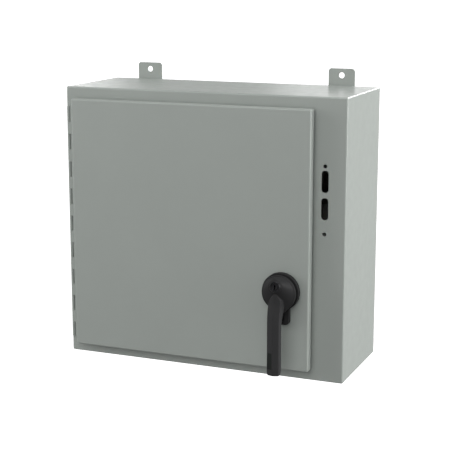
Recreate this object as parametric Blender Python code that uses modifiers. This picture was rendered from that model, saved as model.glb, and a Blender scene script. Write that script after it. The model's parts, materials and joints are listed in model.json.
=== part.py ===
"""A wall-mounted fused disconnect switch in a sheet-steel enclosure with a hinged, latched door.

Metres, +Z up. The origin is on the wall, at the centre of the four mounting holes. Seen from the
front, +X is to the right and the door faces -Y. The door's hinge is on the left. A three-point latch
with a lever handle is near the door's right edge, and the flange to the right of the door is cut out
for a switch operator. Inside, a three-pole knife switch with fuses stands on a sub-panel.
"""

import math

import bmesh
import bpy
from mathutils import Matrix

GAP = 0.0003  # between pieces that rest on each other
SHEET = 0.0019
CUT = 0.010  # how far a cutter reaches past what it cuts

# Enclosure
WIDTH = 0.543
HEIGHT = 0.508
DEPTH = 0.2032
BEND = 0.003
FOOT_THICKNESS = 0.0027
BACK_Y = -(FOOT_THICKNESS + GAP)
FRONT_Y = BACK_Y - DEPTH
FOOT_WIDTH = 0.0508
FOOT_LENGTH = 0.0826
FOOT_REACH = 0.03175
FOOT_SPACING_X = 0.3937
FOOT_SPACING_Z = 0.5461
FOOT_HOLE = 0.00555
FOOT_CORNER = 0.0055

# Door opening and its raised collar
OPENING_LEFT = -0.230
OPENING_RIGHT = 0.199
OPENING_WIDTH = OPENING_RIGHT - OPENING_LEFT
OPENING_HEIGHT = 0.439
OPENING_CORNER = 0.0041
COLLAR = 0.0108

# Cut-outs in the right flange for a switch operator
OPERATOR_X = 0.2331
SLOT_WIDTH = 0.013
SLOT_LENGTH = 0.0392
SLOT_Z = (0.1073, 0.05925)
SCREW_HOLE_Z = (0.1343, 0.0146)
SCREW_HOLE = 0.0035

# Door
DOOR_LEFT = -0.251
DOOR_RIGHT = 0.213
DOOR_HEIGHT = 0.467
DOOR_PROUD = 0.021
DOOR_FACE_Y = FRONT_Y - DOOR_PROUD
DOOR_INSIDE_Y = DOOR_FACE_Y + SHEET
DOOR_EDGE_GAP = 0.004
DOOR_BEND = 0.0025
GASKET_WIDTH = 0.012
GASKET_CORNER = 0.010
GASKET_INNER_CORNER = 0.003
POCKET_LEFT = -0.190
POCKET_RIGHT = 0.070
POCKET_BOTTOM = -0.180
POCKET_TOP = 0.020
POCKET_DEPTH = 0.0217
POCKET_WALL = 0.0015

# Continuous hinge
HINGE_X = -0.2655
BARREL = 0.0031
LEAF = 0.0015
HINGE_Y = FRONT_Y - GAP - BARREL
LEAF_REACH = 0.027
PIN = 0.0015
PIN_BORE = 0.00165
PIN_SIDES = 10
PIN_PROUD = 0.001
KNUCKLE_PITCH = 0.0516
BODY_KNUCKLE = 0.028
BODY_KNUCKLES = 9
HINGE_BOTTOM = -0.2235
HINGE_TOP = HINGE_BOTTOM + (BODY_KNUCKLES - 1) * KNUCKLE_PITCH + BODY_KNUCKLE
KNUCKLE_GAP = 0.0004
NOTCH_HALF = 0.006
NOTCH_RIGHT = HINGE_X + 0.0048

# Latch handle
HANDLE_X = 0.1635
HANDLE_Z = -0.0885
HANDLE_HOLE = 0.0092
ROSE = 0.034
ROSE_THICKNESS = 0.0095
ROSE_BOSS = 0.0087
TAB_WIDTH = 0.033
TAB_DROP = 0.059
TAB_CORNER = 0.006
PADLOCK_WIDTH = 0.0170
PADLOCK_HEIGHT = 0.0125
PADLOCK_DROP = 0.0475
SHACKLE_WIDTH = 0.015
SHACKLE_DEPTH = 0.0070
LATCH_NUT = 0.0156
LATCH_NUT_HEIGHT = 0.005
HUB = 0.0316
HUB_FOOT = 0.013
HUB_FOOT_DROP = 0.0263
HUB_BACK_Y = DOOR_FACE_Y - GAP - ROSE_THICKNESS - GAP
HUB_FRONT_Y = DOOR_FACE_Y - 0.019
GRIP_WIDTH = 0.0235
GRIP_DROP = 0.144
GRIP_FRONT_Y = DOOR_FACE_Y - 0.048
GRIP_BACK_Y = DOOR_FACE_Y - 0.030
LOCK_RISE = 0.0154
LOCK = 0.0078
LOCK_LENGTH = 0.0155
LOCK_BOSS = 0.0125
LOCK_FACE_Y = DOOR_FACE_Y - 0.037
KEY_SLOT_WIDTH = 0.0018
KEY_SLOT_HEIGHT = 0.0084
SHAFT = 0.006
SHAFT_CLEARANCE = 0.0004
SOCKET_DEPTH = 0.007

# Latch behind the door
CAM_Y = FRONT_Y + SHEET + 0.0018
CAM_THICKNESS = 0.0035
CRANK = 0.020
CRANK_PIN = 0.004
CAM_HUB = 0.0115
CAM_ARM_WIDTH = 0.014
LATCH_REACH = 0.0435
ROD_Y = CAM_Y + CAM_THICKNESS + 0.0006
ROD_THICKNESS = 0.003
ROD_WIDTH = 0.012
ROD_OFFSET = 0.017
YOKE_WIDTH = 0.024
YOKE_HEIGHT = 0.020
YOKE_CORNER = 0.004
YOKE_SLOT_WIDTH = 0.0155
FORK_WIDTH = 0.019
FORK_HEIGHT = 0.023
FORK_CORNER = 0.003
ROLLER_Z = 0.229
ROLLER = 0.007
ROLLER_LENGTH = 0.010
ROLLER_PIN = 0.0013
GUIDE_Z = 0.156
GUIDE_HEIGHT = 0.012
GUIDE_CHEEK = 0.004
GUIDE_CLEARANCE = 0.0005
GUIDE_SHEET = 0.003

# Sub-panel on its studs
PANEL_WIDTH = 0.419
PANEL_HEIGHT = 0.4318
PANEL_THICKNESS = 0.0027
PANEL_CORNER = 0.010
PANEL_STANDOFF = 0.0127
PANEL_X = (OPENING_LEFT + OPENING_RIGHT) / 2
PANEL_BACK_Y = BACK_Y - SHEET - PANEL_STANDOFF
PANEL_Y = PANEL_BACK_Y - PANEL_THICKNESS
STUD_SPACING_X = 0.3937
STUD_SPACING_Z = 0.4064
STUD = 0.0047
STUD_REACH = 0.0217
STUD_HOLE = 0.0055
STUD_COLLAR = 0.008
STUD_NUT = 0.00825
STUD_NUT_FRONT = 0.0083

# Three-pole switch and fuses
POLES_X = (0.030, 0.075, 0.120)
RIBS_X = (0.0525, 0.0975)
RIB_HALF = 0.0015
BASE_RIGHT = 0.147
BASE_SPANS = {"switch_base": (0.030, 0.190), "fuse_base": (-0.142, -0.080)}
BASE_RIBS = {"switch_base": (0.105, 0.186, -0.086), "fuse_base": (-0.140, -0.082, -0.075)}
EAR_HALF = 0.014
EAR_LEFT = 0.0005
EAR_RIGHT = 0.006
BASE_Y = PANEL_Y - GAP - 0.025
STRIP_Y = BASE_Y - GAP - 0.003
STRIP_WIDTH = 0.016
ROTOR_Y = -0.070
ROTOR_Z = 0.060
ROTOR = 0.009
ROTOR_SHAFT = 0.006
ROTOR_BEARING = ROTOR_SHAFT + 0.00015
ROTOR_START = 0.002
ROTOR_END = 0.176
BLADE_LENGTH = 0.075
BLADE_THICKNESS = 0.004
BLADE_WIDTH = 0.020
BLADE_HUB = 0.0135
JAW_GAP = 0.0024
JAW_THICKNESS = 0.002
JAW_SPAN = (0.118, 0.176)
JAW_FRONT_Y = -0.084
JAW_HEIGHT = 0.022
JAW_Z = 0.130
JAW_CORNER = 0.003
PIVOT_SPAN = (0.0165, 0.076)
PIVOT_HALF = 0.013
UPPER_CLIP_SPAN = (0.0175, 0.0335)
LOWER_STRIP_SPAN = (-0.138, -0.0865)
LOWER_CLIP_SPAN = (-0.1035, -0.0875)
CLIP_THICKNESS = 0.0012
PEDESTAL_HALF = 0.006
OFF_ANGLE = 75
FUSE_Y = -0.068
FUSE_TOP = 0.035
FUSE_LENGTH = 0.140
FERRULE = 0.0135
FERRULE_LENGTH = 0.016
FUSE_TUBE = 0.0127

# Lugs, shield and mechanism
LUG_HALF = 0.008
LUG_FRONT_Y = STRIP_Y - 0.0173
LUG_EDGE = 0.001
LUG_HOLE = 0.0045
LUG_HOLE_Y = STRIP_Y - 0.0085
LUG_SCREW = 0.004
LUG_SCREW_PROUD = 0.003
LINE_LUG_SPAN = (0.150, 0.172)
LOAD_LUG_SPAN = (-0.137, -0.115)
GROUND_LUG_X = 0.158
GROUND_LUG_SPAN = (-0.196, -0.172)
GROUND_LUG_DEPTH = 0.016
SHIELD_FRONT_Y = -0.0905
SHIELD_WALL = 0.002
SHIELD_HEIGHT = 0.044
SHIELD_Z = 0.168
BRACKET_LEFT = 0.160
BRACKET_THICKNESS = 0.003
BRACKET_HEIGHT = 0.065
BRACKET_Z = 0.0625
BRACKET_FRONT_Y = ROTOR_Y - 0.018
BRACKET_FOOT_RIGHT = 0.182
BRACKET_FOOT_SPAN = (0.032, 0.093)
LEVER_X = 0.170
LEVER_THICKNESS = 0.004
LEVER_LENGTH = 0.060
LEVER_HUB = 0.011
LEVER_WIDTH = 0.014
LEVER_TIP = 0.007
LEVER_HOLE = 0.004
SPRING_LEFT = 0.149
SPRING_RADIUS = 0.0088
SPRING_WIRE = 0.001
SPRING_PITCH = 0.0025
SPRING_TURNS = 3

MATERIALS = {
    "grey_paint": ((0.28, 0.30, 0.285, 1), 0.45, 0.0),
    "panel_paint": ((0.80, 0.80, 0.78, 1), 0.45, 0.0),
    "zinc_steel": ((0.60, 0.60, 0.58, 1), 0.35, 1.0),
    "black_handle": ((0.035, 0.035, 0.037, 1), 0.5, 0.0),
    "lock_metal": ((0.20, 0.20, 0.20, 1), 0.35, 1.0),
    "gasket_foam": ((0.03, 0.03, 0.03, 1), 0.9, 0.0),
    "moulded_base": ((0.05, 0.05, 0.055, 1), 0.5, 0.0),
    "rotor_insulator": ((0.30, 0.06, 0.04, 1), 0.5, 0.0),
    "copper": ((0.75, 0.40, 0.24, 1), 0.3, 1.0),
    "tin_plate": ((0.70, 0.70, 0.68, 1), 0.3, 1.0),
    "fuse_fibre": ((0.62, 0.55, 0.42, 1), 0.7, 0.0),
    "clear_shield": ((0.80, 0.85, 0.88, 0.4), 0.15, 0.0),
    "spring_steel": ((0.45, 0.45, 0.46, 1), 0.3, 1.0),
    "nylon": ((0.75, 0.73, 0.66, 1), 0.5, 0.0),
    "pocket_plastic": ((0.55, 0.56, 0.55, 1), 0.5, 0.0),
}

# How a flat outline lies: its extrusion runs along the plane's normal.
PLANE_TURNS = {
    "XY": (0, 0, 0),
    "XZ": (math.pi / 2, 0, 0),
    "YZ": (math.pi / 2, 0, math.pi / 2),
}


def clear_scene():
    for item in list(bpy.data.objects):
        bpy.data.objects.remove(item, do_unlink=True)


def new_collection(name):
    collection = bpy.data.collections.new(name)
    bpy.context.scene.collection.children.link(collection)
    return collection


def new_material(name, colour, roughness, metallic):
    material = bpy.data.materials.new(name)
    material.use_nodes = True
    shader = material.node_tree.nodes["Principled BSDF"]
    shader.inputs["Base Color"].default_value = colour
    shader.inputs["Roughness"].default_value = roughness
    shader.inputs["Metallic"].default_value = metallic
    shader.inputs["Alpha"].default_value = colour[3]
    return material


clear_scene()
parts = new_collection("fused_disconnect_switch")
cutters = new_collection("cutters")
materials = {name: new_material(name, *look) for name, look in MATERIALS.items()}


# ---- Outlines: lists of flat points ----


def arc(centre, radius, start, end, steps):
    """Points along an arc, from start to end in degrees, with both ends."""
    turns = (start + (end - start) * step / steps for step in range(steps + 1))
    angles = [math.radians(turn) for turn in turns]
    return [(centre[0] + radius * math.cos(a), centre[1] + radius * math.sin(a)) for a in angles]


def circle(radius, sides=16, centre=(0, 0)):
    return arc(centre, radius, 0, 360, sides)[:-1]


def rounded_rectangle(width, height, radius, centre=(0, 0), steps=3):
    """A rectangle with round corners. A radius of half the width makes a slot."""
    x = width / 2 - radius
    y = height / 2 - radius
    corners = ((x, y, 0), (-x, y, 90), (-x, -y, 180), (x, -y, 270))
    points = []
    for corner_x, corner_y, start in corners:
        corner = (centre[0] + corner_x, centre[1] + corner_y)
        points += arc(corner, radius, start, start + 90, steps)
    return points


def lever_outline(hub, arm_width, length, steps=10):
    """A round hub at the origin with a round-ended arm along +X."""
    half = arm_width / 2
    shoulder = math.degrees(math.asin(half / hub))
    tip = arc((length - half, 0), half, -90, 90, 4)
    return arc((0, 0), hub, shoulder, 360 - shoulder, steps) + tip


# ---- Solids ----


def new_object(name, mesh, material):
    item = bpy.data.objects.new(name, mesh)
    parts.objects.link(item)
    item.data.materials.append(materials[material])
    item.data.shade_smooth()
    item.data.set_sharp_from_angle(angle=math.radians(30))
    return item


def block(name, low, high, material="grey_paint"):
    """A box from its lowest corner to its highest."""
    form = bmesh.new()
    bmesh.ops.create_cube(form, size=1)
    bmesh.ops.scale(form, vec=[b - a for a, b in zip(low, high)], verts=form.verts)
    mesh = bpy.data.meshes.new(name)
    form.to_mesh(mesh)
    form.free()
    item = new_object(name, mesh, material)
    item.location = [(a + b) / 2 for a, b in zip(low, high)]
    return item


def cylinder(name, radius, start, end, axis, sides=16, material="zinc_steel"):
    """A cylinder between two values of one axis. Start holds its other two coordinates."""
    length = abs(end - start[axis])
    form = bmesh.new()
    bmesh.ops.create_cone(
        form, cap_ends=True, segments=sides, radius1=radius, radius2=radius, depth=length
    )
    mesh = bpy.data.meshes.new(name)
    form.to_mesh(mesh)
    form.free()
    item = new_object(name, mesh, material)
    item.rotation_euler = ((0, math.pi / 2, 0), (-math.pi / 2, 0, 0), (0, 0, 0))[axis]
    middle = list(start)
    middle[axis] = (start[axis] + end) / 2
    item.location = middle
    return item


def plate(name, outlines, thickness, plane, centre, material="grey_paint", turn=0.0):
    """A flat piece: the first outline is its edge and the others are its holes."""
    curve = bpy.data.curves.new(name, "CURVE")
    curve.dimensions = "2D"
    curve.fill_mode = "BOTH"
    curve.extrude = thickness / 2
    for outline in outlines:
        spline = curve.splines.new("POLY")
        spline.points.add(len(outline) - 1)
        for point, (x, y) in zip(spline.points, outline):
            point.co = (x, y, 0, 1)
        spline.use_cyclic_u = True
    drawn = bpy.data.objects.new(name, curve)
    parts.objects.link(drawn)
    graph = bpy.context.evaluated_depsgraph_get()
    mesh = bpy.data.meshes.new_from_object(drawn.evaluated_get(graph))
    bpy.data.objects.remove(drawn)
    form = bmesh.new()
    form.from_mesh(mesh)
    spin = Matrix.Rotation(math.radians(turn), 3, "Z")
    bmesh.ops.rotate(form, matrix=spin, verts=form.verts)
    bmesh.ops.remove_doubles(form, verts=form.verts, dist=0.00001)
    bmesh.ops.recalc_face_normals(form, faces=form.faces)
    form.to_mesh(mesh)
    form.free()
    item = new_object(name, mesh, material)
    item.rotation_euler = PLANE_TURNS[plane]
    item.location = centre
    return item


def turned(name, profile, centre, sides, material):
    """A turned piece around Z: the profile runs down its outer side, from axis to axis."""
    mesh = bpy.data.meshes.new(name)
    edges = [(i, i + 1) for i in range(len(profile) - 1)]
    mesh.from_pydata([(radius, 0, z) for radius, z in profile], edges, [])
    item = new_object(name, mesh, material)
    item.location = centre
    screw = item.modifiers.new("turn", "SCREW")
    screw.steps = sides
    screw.render_steps = sides
    screw.use_merge_vertices = True
    screw.merge_threshold = 0.0001
    screw.use_smooth_shade = True
    return item


def bevel(item, width, segments=2):
    rounding = item.modifiers.new("bevel", "BEVEL")
    rounding.width = width
    rounding.segments = segments
    rounding.limit_method = "ANGLE"


def combine(target, operation, others):
    """Booleans on one piece. The other shapes become hidden guides."""
    for other in others:
        boolean = target.modifiers.new(other.name, "BOOLEAN")
        boolean.operation = operation
        boolean.object = other
        parts.objects.unlink(other)
        cutters.objects.link(other)
        other.hide_render = True
        other.display_type = "WIRE"


def cut(target, *others):
    combine(target, "DIFFERENCE", others)


def join(target, *others):
    combine(target, "UNION", others)


def joint_empty(name, location, parent=None):
    """An empty on a joint's axis, for the pieces that move with it."""
    empty = bpy.data.objects.new(name, None)
    parts.objects.link(empty)
    empty.location = location
    hang(parent, empty)
    return empty


def hang(parent, *pieces):
    """Parents pieces where they stand."""
    bpy.context.view_layer.update()
    for piece in pieces:
        if parent is not None:
            piece.parent = parent
            piece.matrix_parent_inverse = parent.matrix_world.inverted()


# ---- Enclosure ----


def make_shell():
    """The folded and welded box, open where the door closes on it."""
    shell = block(
        "cabinet_shell",
        (-WIDTH / 2, FRONT_Y, -HEIGHT / 2),
        (WIDTH / 2, BACK_Y, HEIGHT / 2),
    )
    bevel(shell, BEND)
    cavity = block(
        "cavity",
        (-WIDTH / 2 + SHEET, FRONT_Y + SHEET, -HEIGHT / 2 + SHEET),
        (WIDTH / 2 - SHEET, BACK_Y - SHEET, HEIGHT / 2 - SHEET),
    )
    cut(shell, cavity)
    opening = plate(
        "door_opening",
        [rounded_rectangle(OPENING_WIDTH, OPENING_HEIGHT, OPENING_CORNER)],
        2 * CUT,
        "XZ",
        (PANEL_X, FRONT_Y, 0),
    )
    cut(shell, opening)
    slot = rounded_rectangle(SLOT_WIDTH, SLOT_LENGTH, SLOT_WIDTH / 2, steps=4)
    for number, z in enumerate(SLOT_Z):
        cut(shell, plate(f"slot_{number}", [slot], 2 * CUT, "XZ", (OPERATOR_X, FRONT_Y, z)))
    for number, z in enumerate(SCREW_HOLE_Z):
        start = (OPERATOR_X, FRONT_Y - CUT, z)
        cut(shell, cylinder(f"screw_hole_{number}", SCREW_HOLE, start, FRONT_Y + CUT, 1))


def make_collar():
    """The rim that stands around the door opening, with the box's front sheet behind it."""
    outer = rounded_rectangle(
        OPENING_WIDTH + 2 * SHEET, OPENING_HEIGHT + 2 * SHEET, OPENING_CORNER + SHEET
    )
    inner = rounded_rectangle(OPENING_WIDTH, OPENING_HEIGHT, OPENING_CORNER)
    depth = COLLAR - GAP
    centre = (PANEL_X, FRONT_Y - COLLAR + depth / 2, 0)
    plate("opening_collar", [outer, inner], depth, "XZ", centre)


def make_feet():
    """Four tabs welded to the back, each with a bolt hole beyond the box."""
    hole_z = FOOT_SPACING_Z / 2
    middle_z = HEIGHT / 2 + FOOT_REACH - FOOT_LENGTH / 2
    for end, side_z in (("top", 1), ("bottom", -1)):
        for side, side_x in (("left", -1), ("right", 1)):
            hole = circle(FOOT_HOLE, 16, (0, side_z * (hole_z - middle_z)))
            plate(
                f"foot_{end}_{side}",
                [rounded_rectangle(FOOT_WIDTH, FOOT_LENGTH, FOOT_CORNER), hole],
                FOOT_THICKNESS,
                "XZ",
                (side_x * FOOT_SPACING_X / 2, -FOOT_THICKNESS / 2, side_z * middle_z),
            )


def make_panel():
    """The white sub-panel and the four collar studs that hold it, each with its nut."""
    corners = [(x, z) for x in (-1, 1) for z in (-1, 1)]
    places = [(x * STUD_SPACING_X / 2, z * STUD_SPACING_Z / 2) for x, z in corners]
    outlines = [rounded_rectangle(PANEL_WIDTH, PANEL_HEIGHT, PANEL_CORNER)]
    outlines += [circle(STUD_HOLE, 12, place) for place in places]
    middle_y = PANEL_Y + PANEL_THICKNESS / 2
    plate("subpanel", outlines, PANEL_THICKNESS, "XZ", (PANEL_X, middle_y, 0), "panel_paint")
    for number, (x, z) in enumerate(places, start=1):
        foot = (PANEL_X + x, BACK_Y - SHEET - GAP, z)
        stud = cylinder(f"panel_stud_{number}", STUD, foot, PANEL_Y - STUD_REACH, 1, 12)
        shoulder = cylinder(f"shoulder_{number}", STUD_COLLAR, foot, PANEL_BACK_Y + GAP, 1, 12)
        nut_start = (PANEL_X + x, PANEL_Y - GAP, z)
        nut = cylinder(f"nut_{number}", STUD_NUT, nut_start, PANEL_Y - STUD_NUT_FRONT, 1, 6)
        join(stud, shoulder, nut)


# ---- Hinge ----


def leaf_section(side):
    """A leaf rolled around the pin. Side is 1 for the leaf behind it and -1 in front."""
    edge = BARREL - LEAF
    meet = math.degrees(math.asin(edge / BARREL))
    barrel = [(x, side * y) for x, y in arc((0, 0), BARREL, 90, 360 + meet, 11)]
    tip = [(LEAF_REACH, side * edge), (LEAF_REACH, side * BARREL)]
    return [barrel + tip, circle(PIN_BORE, PIN_SIDES)]


def make_leaf(name, side, spans):
    """A hinge leaf whose barrel is cut away over each span, for the other leaf's knuckles."""
    length = HINGE_TOP - HINGE_BOTTOM
    centre = (HINGE_X, HINGE_Y, HINGE_BOTTOM + length / 2)
    leaf = plate(name, leaf_section(side), length, "XY", centre)
    for number, (low, high) in enumerate(spans):
        notch = block(
            f"{name}_notch_{number}",
            (HINGE_X - NOTCH_HALF, HINGE_Y - NOTCH_HALF, low),
            (NOTCH_RIGHT, HINGE_Y + NOTCH_HALF, high),
        )
        cut(leaf, notch)
    return leaf


def make_hinge():
    """The cabinet's leaf with its knuckles, the door's leaf between them, and the pin."""
    starts = [HINGE_BOTTOM + i * KNUCKLE_PITCH for i in range(BODY_KNUCKLES)]
    own = [(z - KNUCKLE_GAP, z + BODY_KNUCKLE + KNUCKLE_GAP) for z in starts]
    between = [(z + BODY_KNUCKLE, z + KNUCKLE_PITCH) for z in starts[:-1]]
    make_leaf("hinge_body_leaf", 1, between)
    door_leaf = make_leaf("hinge_door_leaf", -1, own)
    foot = (HINGE_X, HINGE_Y, HINGE_BOTTOM - PIN_PROUD)
    cylinder("hinge_pin", PIN, foot, HINGE_TOP + PIN_PROUD, 2, PIN_SIDES)
    return door_leaf


# ---- Door ----


def make_door_panel():
    """A pan with returned edges. Its left edge turns in to meet the hinge leaf."""
    rear_y = FRONT_Y - DOOR_EDGE_GAP
    half = DOOR_HEIGHT / 2
    panel = block("door_panel", (DOOR_LEFT, DOOR_FACE_Y, -half), (DOOR_RIGHT, rear_y, half))
    bevel(panel, DOOR_BEND)
    inside = block(
        "door_inside",
        (DOOR_LEFT + SHEET, DOOR_INSIDE_Y, -half + SHEET),
        (DOOR_RIGHT - SHEET, rear_y + CUT, half - SHEET),
    )
    cut(panel, inside)
    flange_rear = HINGE_Y - BARREL - GAP
    flange_right = HINGE_X + LEAF_REACH
    flange = block(
        "hinge_flange",
        (DOOR_LEFT + SHEET / 2, flange_rear - SHEET, -half + SHEET / 2),
        (flange_right, flange_rear + 0.001, half - SHEET / 2),
    )
    join(panel, flange)
    clearance = block(
        "hinge_clearance",
        (DOOR_LEFT - CUT, flange_rear, -half + 2 * SHEET),
        (flange_right + 0.001, rear_y + CUT, half - 2 * SHEET),
    )
    start = (HANDLE_X, DOOR_FACE_Y - CUT, HANDLE_Z)
    hole = cylinder("handle_hole", HANDLE_HOLE, start, DOOR_FACE_Y + CUT, 1, 20)
    cut(panel, clearance, hole)
    return panel


def make_gasket():
    """A foam frame on the door that closes on the collar's edge."""
    thickness = (FRONT_Y - COLLAR) - DOOR_INSIDE_Y - 2 * GAP
    width = OPENING_WIDTH + SHEET
    height = OPENING_HEIGHT + SHEET
    outer = rounded_rectangle(width + GASKET_WIDTH, height + GASKET_WIDTH, GASKET_CORNER)
    inner = rounded_rectangle(width - GASKET_WIDTH, height - GASKET_WIDTH, GASKET_INNER_CORNER)
    middle_y = DOOR_INSIDE_Y + GAP + thickness / 2
    centre = (PANEL_X, middle_y, 0)
    return plate("door_gasket", [outer, inner], thickness, "XZ", centre, "gasket_foam")


def make_pocket():
    """An open-topped pocket for drawings, on the inside of the door."""
    back = DOOR_INSIDE_Y + GAP
    front = back + POCKET_DEPTH
    low = (POCKET_LEFT, back, POCKET_BOTTOM)
    pocket = block("data_pocket", low, (POCKET_RIGHT, front, POCKET_TOP), "pocket_plastic")
    inside = block(
        "pocket_inside",
        [place + POCKET_WALL for place in low],
        (POCKET_RIGHT - POCKET_WALL, front - POCKET_WALL, POCKET_TOP + CUT),
    )
    cut(pocket, inside)
    return pocket


def make_rod_guide(name, side):
    """A bracket on the door with a window that the latch rod slides through."""
    x = HANDLE_X + side * ROD_OFFSET
    z = side * GUIDE_Z
    half_width = ROD_WIDTH / 2 + GUIDE_CHEEK
    half_window = ROD_WIDTH / 2 + GUIDE_CLEARANCE
    rod_rear = ROD_Y + ROD_THICKNESS
    guide = block(
        name,
        (x - half_width, DOOR_INSIDE_Y + GAP, z - GUIDE_HEIGHT / 2),
        (x + half_width, rod_rear + 0.002, z + GUIDE_HEIGHT / 2),
        "zinc_steel",
    )
    window = block(
        f"{name}_window",
        (x - half_window, ROD_Y - GUIDE_CLEARANCE, z - GUIDE_HEIGHT),
        (x + half_window, rod_rear + GUIDE_CLEARANCE, z + GUIDE_HEIGHT),
    )
    hollow = block(
        f"{name}_hollow",
        (x - half_width + GUIDE_SHEET, DOOR_INSIDE_Y + GUIDE_SHEET, z - GUIDE_HEIGHT),
        (x + half_width - GUIDE_SHEET, ROD_Y - GUIDE_SHEET, z + GUIDE_HEIGHT),
    )
    cut(guide, window, hollow)
    return guide


def make_rose():
    """The round plate behind the handle, with its padlock tab and threaded boss."""
    half = TAB_WIDTH / 2
    shoulder = math.degrees(math.acos(half / ROSE))
    edge = arc((0, 0), ROSE, -shoulder, 180 + shoulder, 26)
    edge += arc((TAB_CORNER - half, TAB_CORNER - TAB_DROP), TAB_CORNER, 180, 270, 3)
    edge += arc((half - TAB_CORNER, TAB_CORNER - TAB_DROP), TAB_CORNER, 270, 360, 3)
    padlock = rounded_rectangle(PADLOCK_WIDTH, PADLOCK_HEIGHT, 0.0060, (0, -PADLOCK_DROP))
    middle_y = DOOR_FACE_Y - GAP - ROSE_THICKNESS / 2
    centre = (HANDLE_X, middle_y, HANDLE_Z)
    rose = plate("escutcheon", [edge, padlock], ROSE_THICKNESS, "XZ", centre, "black_handle")
    bevel(rose, 0.0012, 1)
    boss_end = DOOR_INSIDE_Y + 0.010
    join(rose, cylinder("rose_boss", ROSE_BOSS, centre, boss_end, 1, 20))
    bore_start = (HANDLE_X, HUB_BACK_Y - CUT, HANDLE_Z)
    bore = cylinder("rose_bore", SHAFT + SHAFT_CLEARANCE, bore_start, boss_end + CUT, 1, 20)
    relief = block(
        "shackle_relief",
        (HANDLE_X - SHACKLE_WIDTH / 2, DOOR_FACE_Y - SHACKLE_DEPTH, HANDLE_Z - TAB_DROP - CUT),
        (HANDLE_X + SHACKLE_WIDTH / 2, DOOR_FACE_Y, HANDLE_Z - PADLOCK_DROP + 0.0055),
    )
    cut(rose, bore, relief)
    outlines = [circle(LATCH_NUT, 6), circle(HANDLE_HOLE, 20)]
    nut_y = DOOR_INSIDE_Y + GAP + LATCH_NUT_HEIGHT / 2
    centre = (HANDLE_X, nut_y, HANDLE_Z)
    nut = plate("latch_nut", outlines, LATCH_NUT_HEIGHT, "XZ", centre, "zinc_steel")
    return rose, nut


# ---- Handle, lock and three-point latch ----


def hub_outline():
    """A disc that tapers along straight tangents into a smaller round end below."""
    tangent = math.degrees(math.asin((HUB - HUB_FOOT) / HUB_FOOT_DROP))
    disc = arc((0, 0), HUB, -tangent, 180 + tangent, 26)
    return disc + arc((0, -HUB_FOOT_DROP), HUB_FOOT, 180 + tangent, 360 - tangent, 4)


def grip_outline():
    """The grip's side view, as distance in front of the hub's middle and height from the axis."""
    front = GRIP_FRONT_Y
    back = GRIP_BACK_Y
    root = HUB_FRONT_Y + 0.003
    end = -GRIP_DROP
    return [
        (root, 0.006),
        (LOCK_FACE_Y + 0.002, 0.006),
        (front + 0.004, -0.006),
        (front + 0.001, -0.016),
        (front, -0.030),
        (front, end + 0.006),
        (front + 0.003, end + 0.001),
        (front + 0.008, end),
        (back - 0.004, end + 0.001),
        (back, end + 0.005),
        (back, -0.060),
        (back + 0.004, -0.046),
        (root, -0.033),
    ]


def make_handle():
    """The lever: a hub disc, a raised lock boss and a grip that stands off the door."""
    middle_y = (HUB_BACK_Y + HUB_FRONT_Y) / 2
    centre = (HANDLE_X, middle_y, HANDLE_Z)
    thickness = HUB_BACK_Y - HUB_FRONT_Y
    handle = plate("handle", [hub_outline()], thickness, "XZ", centre, "black_handle")
    bevel(handle, 0.0012, 1)
    grip = plate("grip", [grip_outline()], GRIP_WIDTH, "YZ", (HANDLE_X, 0, HANDLE_Z))
    bevel(grip, 0.005)
    lock_z = HANDLE_Z + LOCK_RISE
    boss_start = (HANDLE_X, middle_y, lock_z)
    boss = cylinder("lock_boss", LOCK_BOSS, boss_start, LOCK_FACE_Y + 0.001, 1, 20)
    join(handle, boss, grip)
    bore_start = (HANDLE_X, LOCK_FACE_Y - CUT, lock_z)
    bore_end = LOCK_FACE_Y + LOCK_LENGTH + 0.0005
    lock_bore = cylinder("lock_bore", LOCK + SHAFT_CLEARANCE, bore_start, bore_end, 1, 20)
    socket_start = (HANDLE_X, HUB_BACK_Y - SOCKET_DEPTH, HANDLE_Z)
    socket_end = HUB_BACK_Y + CUT
    socket_radius = SHAFT + SHAFT_CLEARANCE
    socket = cylinder("shaft_socket", socket_radius, socket_start, socket_end, 1, 20)
    cut(handle, lock_bore, socket)
    return handle


def make_latch():
    """The shaft through the door and the cam on it, with its finger and two crank pins."""
    shaft_start = (HANDLE_X, HUB_BACK_Y - SOCKET_DEPTH + 0.0005, HANDLE_Z)
    shaft_end = CAM_Y + CAM_THICKNESS - GAP
    shaft = cylinder("latch_shaft", SHAFT, shaft_start, shaft_end, 1, 20)
    middle_y = CAM_Y + CAM_THICKNESS / 2
    centre = (HANDLE_X, middle_y, HANDLE_Z)
    finger = lever_outline(CAM_HUB, CAM_ARM_WIDTH, LATCH_REACH)
    bore_radius = SHAFT + SHAFT_CLEARANCE
    bore = circle(bore_radius, 20)
    cam = plate("latch_cam", [finger, bore], CAM_THICKNESS, "XZ", centre, "zinc_steel")
    reach = CRANK + CRANK_PIN + 0.003
    arm = plate(
        "crank_arm",
        [rounded_rectangle(2 * reach, CAM_ARM_WIDTH, 0.0069), bore],
        CAM_THICKNESS - 0.0004,
        "XZ",
        centre,
        turn=45,
    )
    join(cam, arm)
    for side in (-1, 1):
        offset = side * CRANK * math.sqrt(0.5)
        pin_start = (HANDLE_X + offset, middle_y, HANDLE_Z + offset)
        join(cam, cylinder(f"crank_pin_{side}", CRANK_PIN, pin_start, ROD_Y + 0.005, 1, 12))
    cut(cam, cylinder("cam_bore", bore_radius, shaft_start, shaft_end + CUT, 1, 20))
    return shaft, cam


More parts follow.
